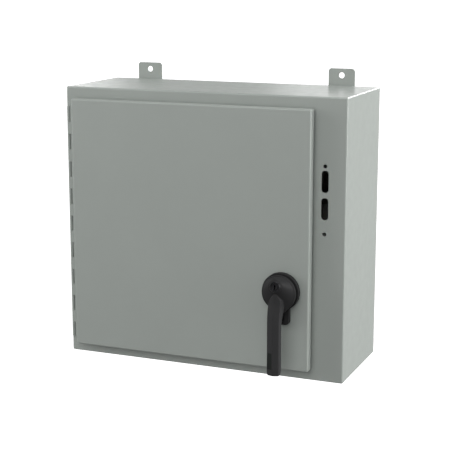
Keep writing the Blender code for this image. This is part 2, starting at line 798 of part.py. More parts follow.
def make_lock_plug():
    """The key cylinder, which turns in the handle, with its key slot."""
    lock_z = HANDLE_Z + LOCK_RISE
    start = (HANDLE_X, LOCK_FACE_Y, lock_z)
    end = LOCK_FACE_Y + LOCK_LENGTH
    plug = cylinder("lock_plug", LOCK, start, end, 1, 20, "lock_metal")
    half_width = KEY_SLOT_WIDTH / 2
    half_height = KEY_SLOT_HEIGHT / 2
    slot = block(
        "key_slot",
        (HANDLE_X - half_width, LOCK_FACE_Y - CUT, lock_z - half_height),
        (HANDLE_X + half_width, LOCK_FACE_Y + 0.010, lock_z + half_height),
    )
    cut(plug, slot)
    return plug


def make_rod(name, side):
    """A flat latch rod: a slotted yoke on the crank pin, and a fork for the roller."""
    x = HANDLE_X + side * ROD_OFFSET
    yoke_z = HANDLE_Z + side * CRANK * math.sqrt(0.5)
    end_z = side * (ROLLER_Z + 0.0105)
    middle_y = ROD_Y + ROD_THICKNESS / 2
    low = (x - ROD_WIDTH / 2, ROD_Y, min(yoke_z, end_z - side * 0.005))
    high = (x + ROD_WIDTH / 2, ROD_Y + ROD_THICKNESS, max(yoke_z, end_z - side * 0.005))
    rod = block(name, low, high, "zinc_steel")
    yoke_slot = rounded_rectangle(YOKE_SLOT_WIDTH, 2 * CRANK_PIN + 0.0018, YOKE_CORNER)
    yoke_edge = rounded_rectangle(YOKE_WIDTH, YOKE_HEIGHT, YOKE_CORNER)
    yoke = plate(f"{name}_yoke", [yoke_edge], ROD_THICKNESS - 0.0002, "XZ", (x, middle_y, yoke_z))
    fork_middle = side * ROLLER_Z
    fork_edge = rounded_rectangle(FORK_WIDTH, FORK_HEIGHT, FORK_CORNER)
    fork = plate(
        f"{name}_fork", [fork_edge], ROD_THICKNESS - 0.0002, "XZ", (x, middle_y, fork_middle)
    )
    join(rod, yoke, fork)
    slot = plate(f"{name}_slot", [yoke_slot], 2 * CUT, "XZ", (x, middle_y, yoke_z))
    half_window = ROLLER_LENGTH / 2 + 0.0006
    window = block(
        f"{name}_window",
        (x - half_window, ROD_Y - CUT, fork_middle - ROLLER - 0.0015),
        (x + half_window, ROD_Y + CUT, fork_middle + ROLLER + 0.0015),
    )
    cut(rod, slot, window)
    pin_start = (x - half_window - 0.001, middle_y, fork_middle)
    pin_end = x + half_window + 0.001
    join(rod, cylinder(f"{name}_pin", ROLLER_PIN, pin_start, pin_end, 0, 12))
    return rod


def make_roller(name, side):
    x = HANDLE_X + side * ROD_OFFSET
    ring = [circle(ROLLER, 16), circle(ROLLER_PIN + 0.0002, 12)]
    centre = (x, ROD_Y + ROD_THICKNESS / 2, side * ROLLER_Z)
    return plate(name, ring, ROLLER_LENGTH, "YZ", centre, "nylon")


# ---- Switch and fuses ----


def make_bases():
    """Two moulded bases with ribs between the poles. The upper one carries the rotor's end."""
    bases = {}
    for name, (low, high) in BASE_SPANS.items():
        bases[name] = block(
            name, (0, BASE_Y, low), (BASE_RIGHT, PANEL_Y - GAP, high), "moulded_base"
        )
        rib_low, rib_high, rib_front = BASE_RIBS[name]
        for number, x in enumerate(RIBS_X):
            rib = block(
                f"{name}_rib_{number}",
                (x - RIB_HALF, rib_front, rib_low),
                (x + RIB_HALF, BASE_Y + 0.001, rib_high),
            )
            join(bases[name], rib)
    ear = block(
        "bearing_ear",
        (EAR_LEFT, ROTOR_Y - EAR_HALF, ROTOR_Z - EAR_HALF),
        (EAR_RIGHT, BASE_Y + 0.001, ROTOR_Z + EAR_HALF),
    )
    join(bases["switch_base"], ear)
    start = (EAR_LEFT - CUT, ROTOR_Y, ROTOR_Z)
    bore = cylinder("ear_bore", ROTOR_BEARING, start, EAR_RIGHT + CUT, 0, 24)
    cut(bases["switch_base"], bore)


def fuse_clip(name, x, low, high):
    """A spring clip around a fuse ferrule, on its pedestal."""
    inner = FERRULE + GAP
    outer = inner + CLIP_THICKNESS
    ring = arc((0, 0), outer, -30, 210, 14) + arc((0, 0), inner, 210, -30, 14)
    middle_z = (low + high) / 2
    clip = plate(name, [ring], high - low, "XY", (x, FUSE_Y, middle_z), "copper")
    pedestal = block(
        f"{name}_pedestal",
        (x - PEDESTAL_HALF, FUSE_Y + inner + CLIP_THICKNESS / 2, low + 0.001),
        (x + PEDESTAL_HALF, STRIP_Y + 0.001, high - 0.001),
    )
    join(clip, pedestal)
    return clip


def strip(name, x, low, high):
    return block(
        name,
        (x - STRIP_WIDTH / 2, STRIP_Y, low),
        (x + STRIP_WIDTH / 2, BASE_Y - GAP, high),
        "copper",
    )


def twin_plates(item, name, x, outline, centre_y, centre_z):
    """Two contact plates with the blade's room between them, joined to a strip."""
    for side in (-1, 1):
        place = (x + side * (JAW_GAP + JAW_THICKNESS / 2), centre_y, centre_z)
        join(item, plate(f"{name}_{side}", [outline], JAW_THICKNESS, "YZ", place))


def make_contacts(number, x):
    """One pole's fixed metal: line jaw, blade pivot with upper clip, and lower clip."""
    root = STRIP_Y + 0.001
    jaw = strip(f"line_jaw_{number}", x, *JAW_SPAN)
    jaw_edge = rounded_rectangle(root - JAW_FRONT_Y, JAW_HEIGHT, JAW_CORNER)
    jaw_y = (root + JAW_FRONT_Y) / 2
    twin_plates(jaw, f"jaw_plate_{number}", x, jaw_edge, jaw_y, JAW_Z)
    pivot = strip(f"pivot_clip_{number}", x, *PIVOT_SPAN)
    ear = arc((0, 0), PIVOT_HALF, 90, 270, 8)
    ear += [(root - ROTOR_Y, -PIVOT_HALF), (root - ROTOR_Y, PIVOT_HALF)]
    twin_plates(pivot, f"pivot_ear_{number}", x, ear, ROTOR_Y, ROTOR_Z)
    join(pivot, fuse_clip(f"upper_clip_{number}", x, *UPPER_CLIP_SPAN))
    bore_start = (x - CUT, ROTOR_Y, ROTOR_Z)
    bore = cylinder(f"pivot_bore_{number}", ROTOR + 0.0005, bore_start, x + CUT, 0, 20)
    cut(pivot, bore)
    lower = strip(f"lower_clip_{number}", x, *LOWER_STRIP_SPAN)
    join(lower, fuse_clip(f"lower_ring_{number}", x, *LOWER_CLIP_SPAN))


def make_lug(name, x, front, rear, hole_y, span):
    """A box lug with a wire hole along Z and a set screw in front."""
    low, high = span
    corner = (x + LUG_HALF, rear, high)
    lug = block(name, (x - LUG_HALF, front, low), corner, "tin_plate")
    bevel(lug, LUG_EDGE, 1)
    screw_start = (x, front - LUG_SCREW_PROUD, (low + high) / 2)
    join(lug, cylinder(f"{name}_screw", LUG_SCREW, screw_start, front + 0.001, 1, 8))
    hole_start = (x, hole_y, low - CUT)
    cut(lug, cylinder(f"{name}_hole", LUG_HOLE, hole_start, high + CUT, 2, 10))


def make_fuse(number, x):
    """A cartridge fuse: a fibre tube between two metal ferrules."""
    low = FUSE_TOP - FUSE_LENGTH
    profile = [
        (0, FUSE_TOP),
        (FERRULE, FUSE_TOP),
        (FERRULE, FUSE_TOP - FERRULE_LENGTH),
        (FUSE_TUBE, FUSE_TOP - FERRULE_LENGTH),
        (FUSE_TUBE, low + FERRULE_LENGTH),
        (FERRULE, low + FERRULE_LENGTH),
        (FERRULE, low),
        (0, low),
    ]
    turned(f"fuse_{number}", profile, (x, FUSE_Y, 0), 16, "fuse_fibre")


def make_shield():
    """The clear channel in front of the line terminals."""
    left = 0.0005
    right = BASE_RIGHT - 0.0005
    wall = SHIELD_WALL
    front = SHIELD_FRONT_Y
    rear = BASE_Y - GAP
    edge = [
        (left, rear),
        (left, front),
        (right, front),
        (right, rear),
        (right - wall, rear),
        (right - wall, front + wall),
        (left + wall, front + wall),
        (left + wall, rear),
    ]
    plate("line_shield", [edge], SHIELD_HEIGHT, "XY", (0, 0, SHIELD_Z), "clear_shield")


def make_mechanism():
    """The side bracket that carries the rotor's shaft, and the spring around the shaft."""
    rear = PANEL_Y - GAP
    outline = rounded_rectangle(rear - BRACKET_FRONT_Y, BRACKET_HEIGHT, 0.004)
    middle_x = BRACKET_LEFT + BRACKET_THICKNESS / 2
    centre = (middle_x, (BRACKET_FRONT_Y + rear) / 2, BRACKET_Z)
    thickness = BRACKET_THICKNESS
    bracket = plate("mechanism_bracket", [outline], thickness, "YZ", centre, "zinc_steel")
    low, high = BRACKET_FOOT_SPAN
    foot_low = (BRACKET_LEFT + 0.001, rear - thickness, low)
    join(bracket, block("bracket_foot", foot_low, (BRACKET_FOOT_RIGHT, rear, high)))
    bore_start = (BRACKET_LEFT - CUT, ROTOR_Y, ROTOR_Z)
    bore_end = BRACKET_LEFT + CUT
    cut(bracket, cylinder("bracket_bore", ROTOR_BEARING, bore_start, bore_end, 0, 24))
    make_spring()


def make_spring():
    """A torsion spring of open turns around the shaft."""
    steps = 12
    curve = bpy.data.curves.new("torsion_spring", "CURVE")
    curve.dimensions = "3D"
    curve.bevel_depth = SPRING_WIRE
    curve.bevel_resolution = 1
    curve.use_fill_caps = True
    spline = curve.splines.new("POLY")
    spline.points.add(SPRING_TURNS * steps)
    for step, point in enumerate(spline.points):
        angle = 2 * math.pi * step / steps
        x = SPRING_LEFT + SPRING_PITCH * step / steps
        y = ROTOR_Y + SPRING_RADIUS * math.cos(angle)
        z = ROTOR_Z + SPRING_RADIUS * math.sin(angle)
        point.co = (x, y, z, 1)
    spring = bpy.data.objects.new("torsion_spring", curve)
    parts.objects.link(spring)
    curve.materials.append(materials["spring_steel"])


def make_rotor():
    """The insulated shaft with a blade for each pole and the operating lever."""
    axis_start = (ROTOR, ROTOR_Y, ROTOR_Z)
    bar = cylinder("rotor_bar", ROTOR, axis_start, BASE_RIGHT - 0.0005, 0, 16, "rotor_insulator")
    shaft_start = (ROTOR_START, ROTOR_Y, ROTOR_Z)
    join(bar, cylinder("rotor_shaft", ROTOR_SHAFT, shaft_start, ROTOR_END, 0, 24))
    pieces = [bar]
    blade_edge = lever_outline(BLADE_HUB, BLADE_WIDTH, BLADE_LENGTH)
    for number, x in enumerate(POLES_X, start=1):
        blade = plate(
            f"blade_{number}",
            [blade_edge, circle(ROTOR + 0.0004, 16)],
            BLADE_THICKNESS,
            "YZ",
            (x, ROTOR_Y, ROTOR_Z),
            "copper",
            turn=90 + OFF_ANGLE,
        )
        pieces.append(blade)
    lever_edge = lever_outline(LEVER_HUB, LEVER_WIDTH, LEVER_LENGTH + LEVER_TIP)
    link_hole = circle(LEVER_HOLE, 10, (LEVER_LENGTH, 0))
    lever = plate(
        "operating_lever",
        [lever_edge, circle(ROTOR_SHAFT + 0.0003, 16), link_hole],
        LEVER_THICKNESS,
        "YZ",
        (LEVER_X, ROTOR_Y, ROTOR_Z),
        "zinc_steel",
        turn=180 + OFF_ANGLE / 2,
    )
    pieces.append(lever)
    return pieces


def make_lugs():
    """The line and load lugs of each pole, and the earth lug at the sub-panel's lower right."""
    for number, x in enumerate(POLES_X, start=1):
        for name, span in (("line_lug", LINE_LUG_SPAN), ("load_lug", LOAD_LUG_SPAN)):
            rear = STRIP_Y - GAP
            make_lug(f"{name}_{number}", x, LUG_FRONT_Y, rear, LUG_HOLE_Y, span)
    rear = PANEL_Y - GAP
    front = rear - GROUND_LUG_DEPTH
    hole_y = (front + rear) / 2
    make_lug("ground_lug", GROUND_LUG_X, front, rear, hole_y, GROUND_LUG_SPAN)


def make_switch():
    make_bases()
    for number, x in enumerate(POLES_X, start=1):
        make_contacts(number, x)
        make_fuse(number, x)
    make_lugs()
    make_shield()
    make_mechanism()
    rotor_axis = joint_empty("rotor_axis", (0, ROTOR_Y, ROTOR_Z))
    hang(rotor_axis, *make_rotor())


def make_door():
    """Everything that swings with the door, each moving piece under its own joint."""
    hinge_axis = joint_empty("hinge_axis", (HINGE_X, HINGE_Y, 0))
    hang(hinge_axis, make_hinge(), make_door_panel(), make_gasket(), make_pocket())
    hang(hinge_axis, *make_rose())
    for name, side in (("upper", 1), ("lower", -1)):
        hang(hinge_axis, make_rod_guide(f"{name}_rod_guide", side))
        rod_x = HANDLE_X + side * ROD_OFFSET
        roller_place = (rod_x, ROD_Y + ROD_THICKNESS / 2, side * ROLLER_Z)
        rod_axis = joint_empty(f"{name}_rod_axis", roller_place, hinge_axis)
        hang(rod_axis, make_rod(f"{name}_rod", side))
        roller_axis = joint_empty(f"{name}_roller_axis", roller_place, rod_axis)
        hang(roller_axis, make_roller(f"{name}_roller", side))
    handle_axis = joint_empty("handle_axis", (HANDLE_X, HUB_FRONT_Y, HANDLE_Z), hinge_axis)
    hang(handle_axis, make_handle(), *make_latch())
    lock_place = (HANDLE_X, LOCK_FACE_Y, HANDLE_Z + LOCK_RISE)
    lock_axis = joint_empty("lock_axis", lock_place, handle_axis)
    hang(lock_axis, make_lock_plug())


make_shell()
make_collar()
make_feet()
make_panel()
make_switch()
make_door()
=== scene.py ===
"""The looks of a wall-mounted fused disconnect switch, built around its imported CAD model.

Metres, +Z up, the door faces -Y. Sizes and places come from the frame. The outside pieces are
rebuilt with sheet-metal bends, a cast handle and a rolled hinge, and the inside keeps most CAD
solids, with softened edges, finer materials and added fasteners.
"""
import json
import math

import bmesh
import bpy
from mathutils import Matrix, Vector


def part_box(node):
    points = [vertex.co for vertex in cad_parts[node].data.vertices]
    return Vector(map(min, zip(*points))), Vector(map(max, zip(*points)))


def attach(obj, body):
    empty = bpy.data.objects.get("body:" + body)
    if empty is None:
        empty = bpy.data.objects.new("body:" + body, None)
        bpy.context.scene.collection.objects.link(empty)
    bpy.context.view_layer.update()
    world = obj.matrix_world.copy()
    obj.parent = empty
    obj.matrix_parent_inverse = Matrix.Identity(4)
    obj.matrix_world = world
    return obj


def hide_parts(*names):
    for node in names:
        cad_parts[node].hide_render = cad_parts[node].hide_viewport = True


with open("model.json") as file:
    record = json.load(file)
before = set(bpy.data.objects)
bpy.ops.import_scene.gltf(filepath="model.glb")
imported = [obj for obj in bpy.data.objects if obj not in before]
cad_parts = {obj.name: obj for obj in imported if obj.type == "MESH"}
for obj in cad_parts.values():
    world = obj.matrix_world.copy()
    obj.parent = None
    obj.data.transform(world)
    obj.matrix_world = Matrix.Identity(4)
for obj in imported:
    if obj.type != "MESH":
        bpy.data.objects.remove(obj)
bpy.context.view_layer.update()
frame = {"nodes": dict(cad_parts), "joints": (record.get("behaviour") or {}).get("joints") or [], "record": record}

SHEET = 0.0019            # sheet steel of box and door
BEND = 0.003              # outside radius of the box's bends
GASKET_WIDTH = 0.012
COLLAR_CORNER = 0.004     # inside corner radius of the door opening
BARREL = 0.0031           # outside radius of the hinge knuckles
LEAF = 0.0015             # steel of the hinge leaves
PIN_BORE = 0.00165
UNDERCUT = 0.0032         # groove between the rim of the handle's hub and the plate behind it
RIDGE_SLOPE = 0.30        # fall of the grip's front faces, away from its ridge
SHAFT_BORE = 0.0064       # hole for the latch shaft in handle and plate
SHARP = 35                # faces that meet at more degrees than this keep a sharp edge

joints = {joint["name"]: joint for joint in frame["joints"]}
mounts = {mount["name"]: mount for mount in frame["record"]["mounts"]}
boxes = {name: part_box(name) for name in frame["nodes"]}


def middle(node):
    low, high = boxes[node]
    return (low + high) / 2


def openings(prefix):
    """The middles of the frame's stated openings whose names start with the prefix."""
    found = []
    for opening in frame["record"]["physics"]["openings"]:
        if opening["name"].startswith(prefix):
            low, high = (Vector(corner) for corner in opening["box_m"])
            found.append((low + high) / 2)
    return found


HINGE = Vector(joints["door_swing"]["pos_m"])
HANDLE = Vector(joints["handle_turn"]["pos_m"])
LOCK = Vector(joints["key_turn"]["pos_m"])
ROTOR = Vector(joints["switch_turn"]["pos_m"])
FRONT_Y = mounts["operator_face"]["pos_m"][1]
COLLAR_Y = boxes["opening_collar"][0].y
BACK_Y = boxes["cabinet_shell"][1].y
DOOR_Y = boxes["door_panel"][0].y
HUB_BACK_Y = boxes["escutcheon"][0].y - 0.0003
UP, FRONT, REAR = Vector((0, 0, 1)), Vector((0, -1, 0)), Vector((0, 1, 0))


# ---- Outlines ----


def arc(centre, radius, start, end, steps):
    """Flat points along an arc, from start to end in degrees, with both ends."""
    turns = (start + (end - start) * step / steps for step in range(steps + 1))
    angles = [math.radians(turn) for turn in turns]
    return [(centre[0] + radius * math.cos(a), centre[1] + radius * math.sin(a)) for a in angles]


def circle(radius, sides=32, centre=(0, 0)):
    return arc(centre, radius, 0, 360, sides)[:-1]


def rounded_rectangle(width, height, radius, centre=(0, 0), steps=6):
    """A rectangle with round corners, counter-clockwise from the right end of the top edge."""
    x = width / 2 - radius
    y = height / 2 - radius
    corners = ((x, y, 0), (-x, y, 90), (-x, -y, 180), (x, -y, 270))
    points = []
    for corner_x, corner_y, start in corners:
        corner = (centre[0] + corner_x, centre[1] + corner_y)
        points += arc(corner, radius, start, start + 90, steps)
    return points


# ---- Meshes ----


def new_piece(name, form, body, material, sharp=SHARP):
    """Makes a piece from a bmesh, shades it, and puts it on its body."""
    mesh = bpy.data.meshes.new(name)
    bmesh.ops.recalc_face_normals(form, faces=form.faces)
    form.to_mesh(mesh)
    form.free()
    mesh.shade_smooth()
    mesh.set_sharp_from_angle(angle=math.radians(sharp))
    mesh.materials.append(material)
    piece = bpy.data.objects.new(name, mesh)
    bpy.context.scene.collection.objects.link(piece)
    if body is not None:
        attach(piece, body)
    return piece


def zinc_piece(name, form, body, sharp=SHARP):
    return new_piece(name, form, body, materials["zinc"], sharp)


def new_guide(name, form):
    """A shape for a Boolean, which is removed once it has been used."""
    return new_piece(name, form, None, materials["zinc"])


def loft(rings, closed=False):
    """Skins a row of rings that have the same number of points. Open rows are capped."""
    form = bmesh.new()
    rows = [[form.verts.new(point) for point in ring] for ring in rings]
    pairs = list(zip(rows, rows[1:]))
    if closed:
        pairs.append((rows[-1], rows[0]))
    for first, second in pairs:
        count = len(first)
        for i in range(count):
            j = (i + 1) % count
            form.faces.new((first[i], first[j], second[j], second[i]))
    if not closed:
        form.faces.new(rows[0])
        form.faces.new(list(reversed(rows[-1])))
    return form


def frame_ring(edges, radius, y):
    """A rounded rectangle in a plane of constant y. Edges are left, right, bottom and top."""
    smallest = 0.00004
    left, right, bottom, top = edges
    centre = ((left + right) / 2, (bottom + top) / 2)
    flat = rounded_rectangle(right - left, top - bottom, max(radius, smallest), centre)
    return [(x, y, z) for x, z in flat]


def grown(edges, amount):
    left, right, bottom, top = edges
    return (left - amount, right + amount, bottom - amount, top + amount)


def bend_ring(edges, radius, share, place):
    """One ring of a bend round the edges, with its share of the bend's radius at the corners."""
    return (grown(edges, radius * (share - 1)), radius * share, place)


def edges_of(node):
    low, high = boxes[node]
    return (low.x, high.x, low.z, high.z)


def prism(outline, thickness, centre, plane="XZ"):
    """Extrudes a flat outline. The plane names the world axes that its points run along."""
    across, up = "XYZ".index(plane[0]), "XYZ".index(plane[1])
    along = 3 - across - up
    rings = []
    for shift in (-thickness / 2, thickness / 2):
        ring = []
        for u, v in outline:
            point = [0.0, 0.0, 0.0]
            point[across] = u
            point[up] = v
            point[along] = shift
            ring.append(Vector(point) + Vector(centre))
        rings.append(ring)
    return loft(rings)


def cuboid(low, high):
    width, depth, height = (b - a for a, b in zip(low, high))
    centre = [(a + b) / 2 for a, b in zip(low, high)]
    flat = ((-1, -1), (1, -1), (1, 1), (-1, 1))
    return prism([(width / 2 * x, depth / 2 * y) for x, y in flat], height, centre, "XY")


def placed(points, foot, axis):
    """Points made around the Z axis from the origin, moved to foot and turned along the axis."""
    spin = UP.rotation_difference(Vector(axis)).to_matrix()
    return [spin @ Vector(point) + Vector(foot) for point in points]


def turned(profile, foot, axis, sides=32, closed=False):
    """A turned form. Its profile is a row of (radius, distance along the axis)."""
    rings = []
    for radius, along in profile:
        ring = [(x, y, along) for x, y in circle(radius, sides)]
        rings.append(placed(ring, foot, axis))
    return loft(rings, closed)


def tube(profile, foot, axis, sides=32):
    """A turned form with a hole: the profile is a closed loop that stays off the axis."""
    return turned(profile, foot, axis, sides, closed=True)


def settle(piece):
    """Replaces a piece's mesh by what its modifiers make of it."""
    bpy.context.view_layer.update()
    graph = bpy.context.evaluated_depsgraph_get()
    mesh = bpy.data.meshes.new_from_object(piece.evaluated_get(graph))
    piece.modifiers.clear()
    piece.data = mesh


def combine(piece, operation, *others):
    """Applies Booleans with the other shapes, and removes them."""
    for other in others:
        boolean = piece.modifiers.new(other.name, "BOOLEAN")
        boolean.operation = operation
        boolean.object = other
    settle(piece)
    for other in others:
        bpy.data.objects.remove(other)


def soften(piece, width, segments=3, angle=30):
    """Rounds a piece's hard edges and keeps its flat faces flat."""
    rounding = piece.modifiers.new("bevel", "BEVEL")
    rounding.width = width
    rounding.segments = segments
    rounding.limit_method = "ANGLE"
    rounding.angle_limit = math.radians(angle)
    rounding.use_clamp_overlap = True
    flatten(piece)


def flatten(piece):
    weighted = piece.modifiers.new("normals", "WEIGHTED_NORMAL")
    weighted.keep_sharp = True


def quarter(steps):
    """Pairs of sine and cosine over a quarter turn, from 0 to 90 degrees."""
    angles = [math.pi / 2 * step / steps for step in range(steps + 1)]
    return [(math.sin(angle), math.cos(angle)) for angle in angles]


# ---- Materials ----


def new_material(name, colour, roughness, metallic=0.0):
    material = bpy.data.materials.new(name)
    material.use_nodes = True
    shader = material.node_tree.nodes["Principled BSDF"]
    shader.inputs["Base Color"].default_value = (*colour, 1)
    shader.inputs["Roughness"].default_value = roughness
    shader.inputs["Metallic"].default_value = metallic
    return material


def noise_node(material, scale, detail=3.0, roughness=0.5, stretch=None):
    """A noise texture in object space, in cycles for each metre."""
    tree = material.node_tree
    place = tree.nodes.new("ShaderNodeTexCoord").outputs["Object"]
    if stretch is not None:
        mapping = tree.nodes.new("ShaderNodeMapping")
        mapping.inputs["Scale"].default_value = stretch
        tree.links.new(place, mapping.inputs["Vector"])
        place = mapping.outputs["Vector"]
    noise = tree.nodes.new("ShaderNodeTexNoise")
    noise.inputs["Scale"].default_value = scale
    noise.inputs["Detail"].default_value = detail
    noise.inputs["Roughness"].default_value = roughness
    tree.links.new(place, noise.inputs["Vector"])
    return noise


def vary(material, socket, noise, low, high):
    """Lets a noise carry one of the shader's inputs from low to high."""
    tree = material.node_tree
    ramp = tree.nodes.new("ShaderNodeValToRGB")
    for step, position, value in zip(ramp.color_ramp.elements, (0.3, 0.7), (low, high)):
        step.position = position
        step.color = (*value, 1) if isinstance(value, tuple) else (value, value, value, 1)
    shader = tree.nodes["Principled BSDF"]
    tree.links.new(noise.outputs["Fac"], ramp.inputs["Fac"])
    tree.links.new(ramp.outputs["Color"], shader.inputs[socket])


def bump(material, noise, strength, distance):
    tree = material.node_tree
    node = tree.nodes.new("ShaderNodeBump")
    node.inputs["Strength"].default_value = strength
    node.inputs["Distance"].default_value = distance
    tree.links.new(noise.outputs["Fac"], node.inputs["Height"])
    tree.links.new(node.outputs["Normal"], tree.nodes["Principled BSDF"].inputs["Normal"])


def shade(colour, factor):
    return tuple(min(1.0, channel * factor) for channel in colour)


def powder_coat(name, colour, roughness, grain, depth, specular=0.5, gloss_coat=0.0):
    """Baked powder: an orange-peel skin, a slight cloudiness and an uneven gloss."""
    material = new_material(name, colour, roughness)
    shader = material.node_tree.nodes["Principled BSDF"]
    shader.inputs["Specular IOR Level"].default_value = specular
    shader.inputs["Coat Weight"].default_value = gloss_coat
    shader.inputs["Coat Roughness"].default_value = 0.22
    cloud = noise_node(material, scale=9.0, detail=4.0, roughness=0.6)
    vary(material, "Base Color", cloud, shade(colour, 0.985), shade(colour, 1.015))
    gloss = noise_node(material, scale=60.0)
    vary(material, "Roughness", gloss, roughness - 0.05, roughness + 0.05)
    bump(material, noise_node(material, grain, detail=2.0), 0.25, depth)
    return material


def paint_light_below(material, start, end, gain):
    """Paints light into a coat: lightens it by gain from height end down, and not above start."""
    tree = material.node_tree
    shader = tree.nodes["Principled BSDF"]
    height = tree.nodes.new("ShaderNodeSeparateXYZ")
    share = tree.nodes.new("ShaderNodeMapRange")
    share.inputs["From Min"].default_value = start
    share.inputs["From Max"].default_value = end
    share.inputs["To Min"].default_value = 1.0
    share.inputs["To Max"].default_value = gain
    scale = tree.nodes.new("ShaderNodeVectorMath")
    scale.operation = "SCALE"
    coat = shader.inputs["Base Color"].links[0].from_socket
    place = tree.nodes.new("ShaderNodeTexCoord").outputs["Object"]
    tree.links.new(place, height.inputs["Vector"])
    tree.links.new(height.outputs["Z"], share.inputs["Value"])
    tree.links.new(coat, scale.inputs[0])
    tree.links.new(share.outputs["Result"], scale.inputs["Scale"])
    tree.links.new(scale.outputs["Vector"], shader.inputs["Base Color"])


def plated(name, colour, roughness, stretch=(1, 1, 1), grain=900.0):
    """Plated or rolled metal with fine drawn lines and a mottled finish."""
    material = new_material(name, colour, roughness, 1.0)
    mottle = noise_node(material, scale=120.0, detail=4.0, roughness=0.65)
    vary(material, "Base Color", mottle, shade(colour, 0.88), shade(colour, 1.08))
    lines = noise_node(material, grain, roughness=0.6, stretch=stretch)
    vary(material, "Roughness", lines, roughness - 0.06, roughness + 0.08)
    bump(material, lines, strength=0.08, distance=0.00003)
    return material


def moulded(name, colour, roughness, grain=700.0, depth=0.00006):
    """Moulded plastic or thermoset with a fine spark-eroded grain."""
    material = new_material(name, colour, roughness)
    flow = noise_node(material, scale=35.0)
    vary(material, "Base Color", flow, shade(colour, 0.94), shade(colour, 1.06))
    grain_noise = noise_node(material, grain, roughness=0.6)
    vary(material, "Roughness", grain_noise, roughness - 0.06, roughness + 0.08)
    bump(material, grain_noise, 0.3, depth)
    return material


def foam():
    """Closed-cell foam, with fine dark pores."""
    material = new_material("gasket_foam", (0.03, 0.03, 0.032), 0.9)
    pores = noise_node(material, scale=1500.0, detail=4.0, roughness=0.7)
    vary(material, "Base Color", pores, (0.012, 0.012, 0.013), (0.06, 0.06, 0.062))
    bump(material, pores, strength=0.7, distance=0.0003)
    return material


def clear_sheet():
    """Clear polycarbonate with faint haze."""
    material = new_material("clear_shield", (0.82, 0.87, 0.90), 0.12)
    shader = material.node_tree.nodes["Principled BSDF"]
    shader.inputs["Alpha"].default_value = 0.3
    shader.inputs["IOR"].default_value = 1.58
    haze = noise_node(material, scale=45.0)
    vary(material, "Roughness", haze, 0.08, 0.2)
    return material


GREY, WHITE = (0.270, 0.293, 0.274), (0.78, 0.78, 0.76)
BLACK, INSERT_BLACK = (0.0195, 0.0195, 0.0200), (0.0135, 0.0155, 0.0145)
SMOOTH_GRAIN, TEXTURE_GRAIN = 620.0, 900.0
MATT = 0.08
materials = {
    "grey": powder_coat("grey_powder_coat", GREY, 0.42, SMOOTH_GRAIN, 0.00008, gloss_coat=0.30),
    "white": powder_coat("white_powder_coat", WHITE, 0.42, SMOOTH_GRAIN, 0.00012),
    "black": powder_coat("black_texture_coat", BLACK, 0.55, TEXTURE_GRAIN, 0.00010, MATT),
    "lever": powder_coat("black_lever_coat", BLACK, 0.55, TEXTURE_GRAIN, 0.00010, MATT),
    "insert": powder_coat("black_insert", INSERT_BLACK, 0.60, TEXTURE_GRAIN, 0.00005, MATT),
    "lock": plated("blackened_lock", (0.035, 0.035, 0.037), 0.38),
    "zinc": plated("zinc_plate", (0.47, 0.465, 0.435), 0.38, (1, 1, 0.08)),
    "foam": foam(),
    "thermoset": moulded("black_thermoset", (0.040, 0.040, 0.044), 0.42),
    "red_thermoset": moulded("red_thermoset", (0.30, 0.045, 0.030), 0.40),
    "copper": plated("copper", (0.70, 0.34, 0.20), 0.30, (1, 1, 0.25)),
    "tin": plated("tin_plate", (0.58, 0.58, 0.56), 0.34),
    "fibre": moulded("fuse_fibre", (0.60, 0.50, 0.33), 0.62, 420.0, 0.0001),
    "band": moulded("fuse_band", (0.10, 0.16, 0.30), 0.55, 420.0, 0.0001),
    "clear": clear_sheet(),
    "spring": plated("spring_steel", (0.36, 0.36, 0.38), 0.30),
    "nylon": moulded("nylon", (0.72, 0.70, 0.62), 0.45),
    "pocket": moulded("pocket_plastic", (0.10, 0.105, 0.105), 0.48),
}
# painted light: the lever's grip is lightened up to 1.5 times below the hub, standing in for the light and sheen
# its front catches
paint_light_below(materials["lever"], start=HANDLE.z - 0.012, end=HANDLE.z - 0.050, gain=1.5)


# ---- Camera, light and stage ----


def make_camera():
    data = bpy.data.cameras.new("camera")
    data.sensor_width = 36
    data.lens = 99.6
    camera = bpy.data.objects.new("camera", data)
    bpy.context.scene.collection.objects.link(camera)
    camera.location = (0.8792, -2.2295, 0.4733)
    yaw, pitch = math.radians(22.37), math.radians(11.79)
    camera.rotation_euler = (math.pi / 2 - pitch, 0, yaw)
    bpy.context.scene.camera = camera


def area_light(name, place, target, size, power):
    data = bpy.data.lights.new(name, "AREA")
    data.shape = "DISK"
    data.size = size
    data.energy = power
    light = bpy.data.objects.new(name, data)
    light.visible_camera = False
    bpy.context.scene.collection.objects.link(light)
    light.location = place
    light.rotation_euler = (Vector(target) - Vector(place)).to_track_quat("-Z", "Y").to_euler()


def make_stage():
    """A pale round floor far below the switch, which curves up into a wall on all sides."""
    floor_z, radius, curve, top_z = -2.6, 12.0, 4.0, 16.0
    profile = [(0.01, floor_z)]
    profile += arc((radius - curve, floor_z + curve), curve, 270, 360, 12)
    profile += [(radius, top_z)]
    form = bmesh.new()
    rows = [[form.verts.new((x, y, z)) for x, y in circle(reach, 64)] for reach, z in profile]
    for inner, outer in zip(rows, rows[1:]):
        for i in range(len(inner)):
            j = (i + 1) % len(inner)
            form.faces.new((inner[i], inner[j], outer[j], outer[i]))
    form.faces.new(rows[0])
    pale = new_material("studio_floor", (0.9, 0.9, 0.9), 0.9)
    shader = pale.node_tree.nodes["Principled BSDF"]
    shader.inputs["Emission Color"].default_value = (1, 1, 1, 1)
    shader.inputs["Emission Strength"].default_value = 1.0
    stage = new_piece("studio_floor", form, None, pale)
    stage.visible_diffuse = False
    stage.visible_glossy = False
    stage.visible_shadow = False


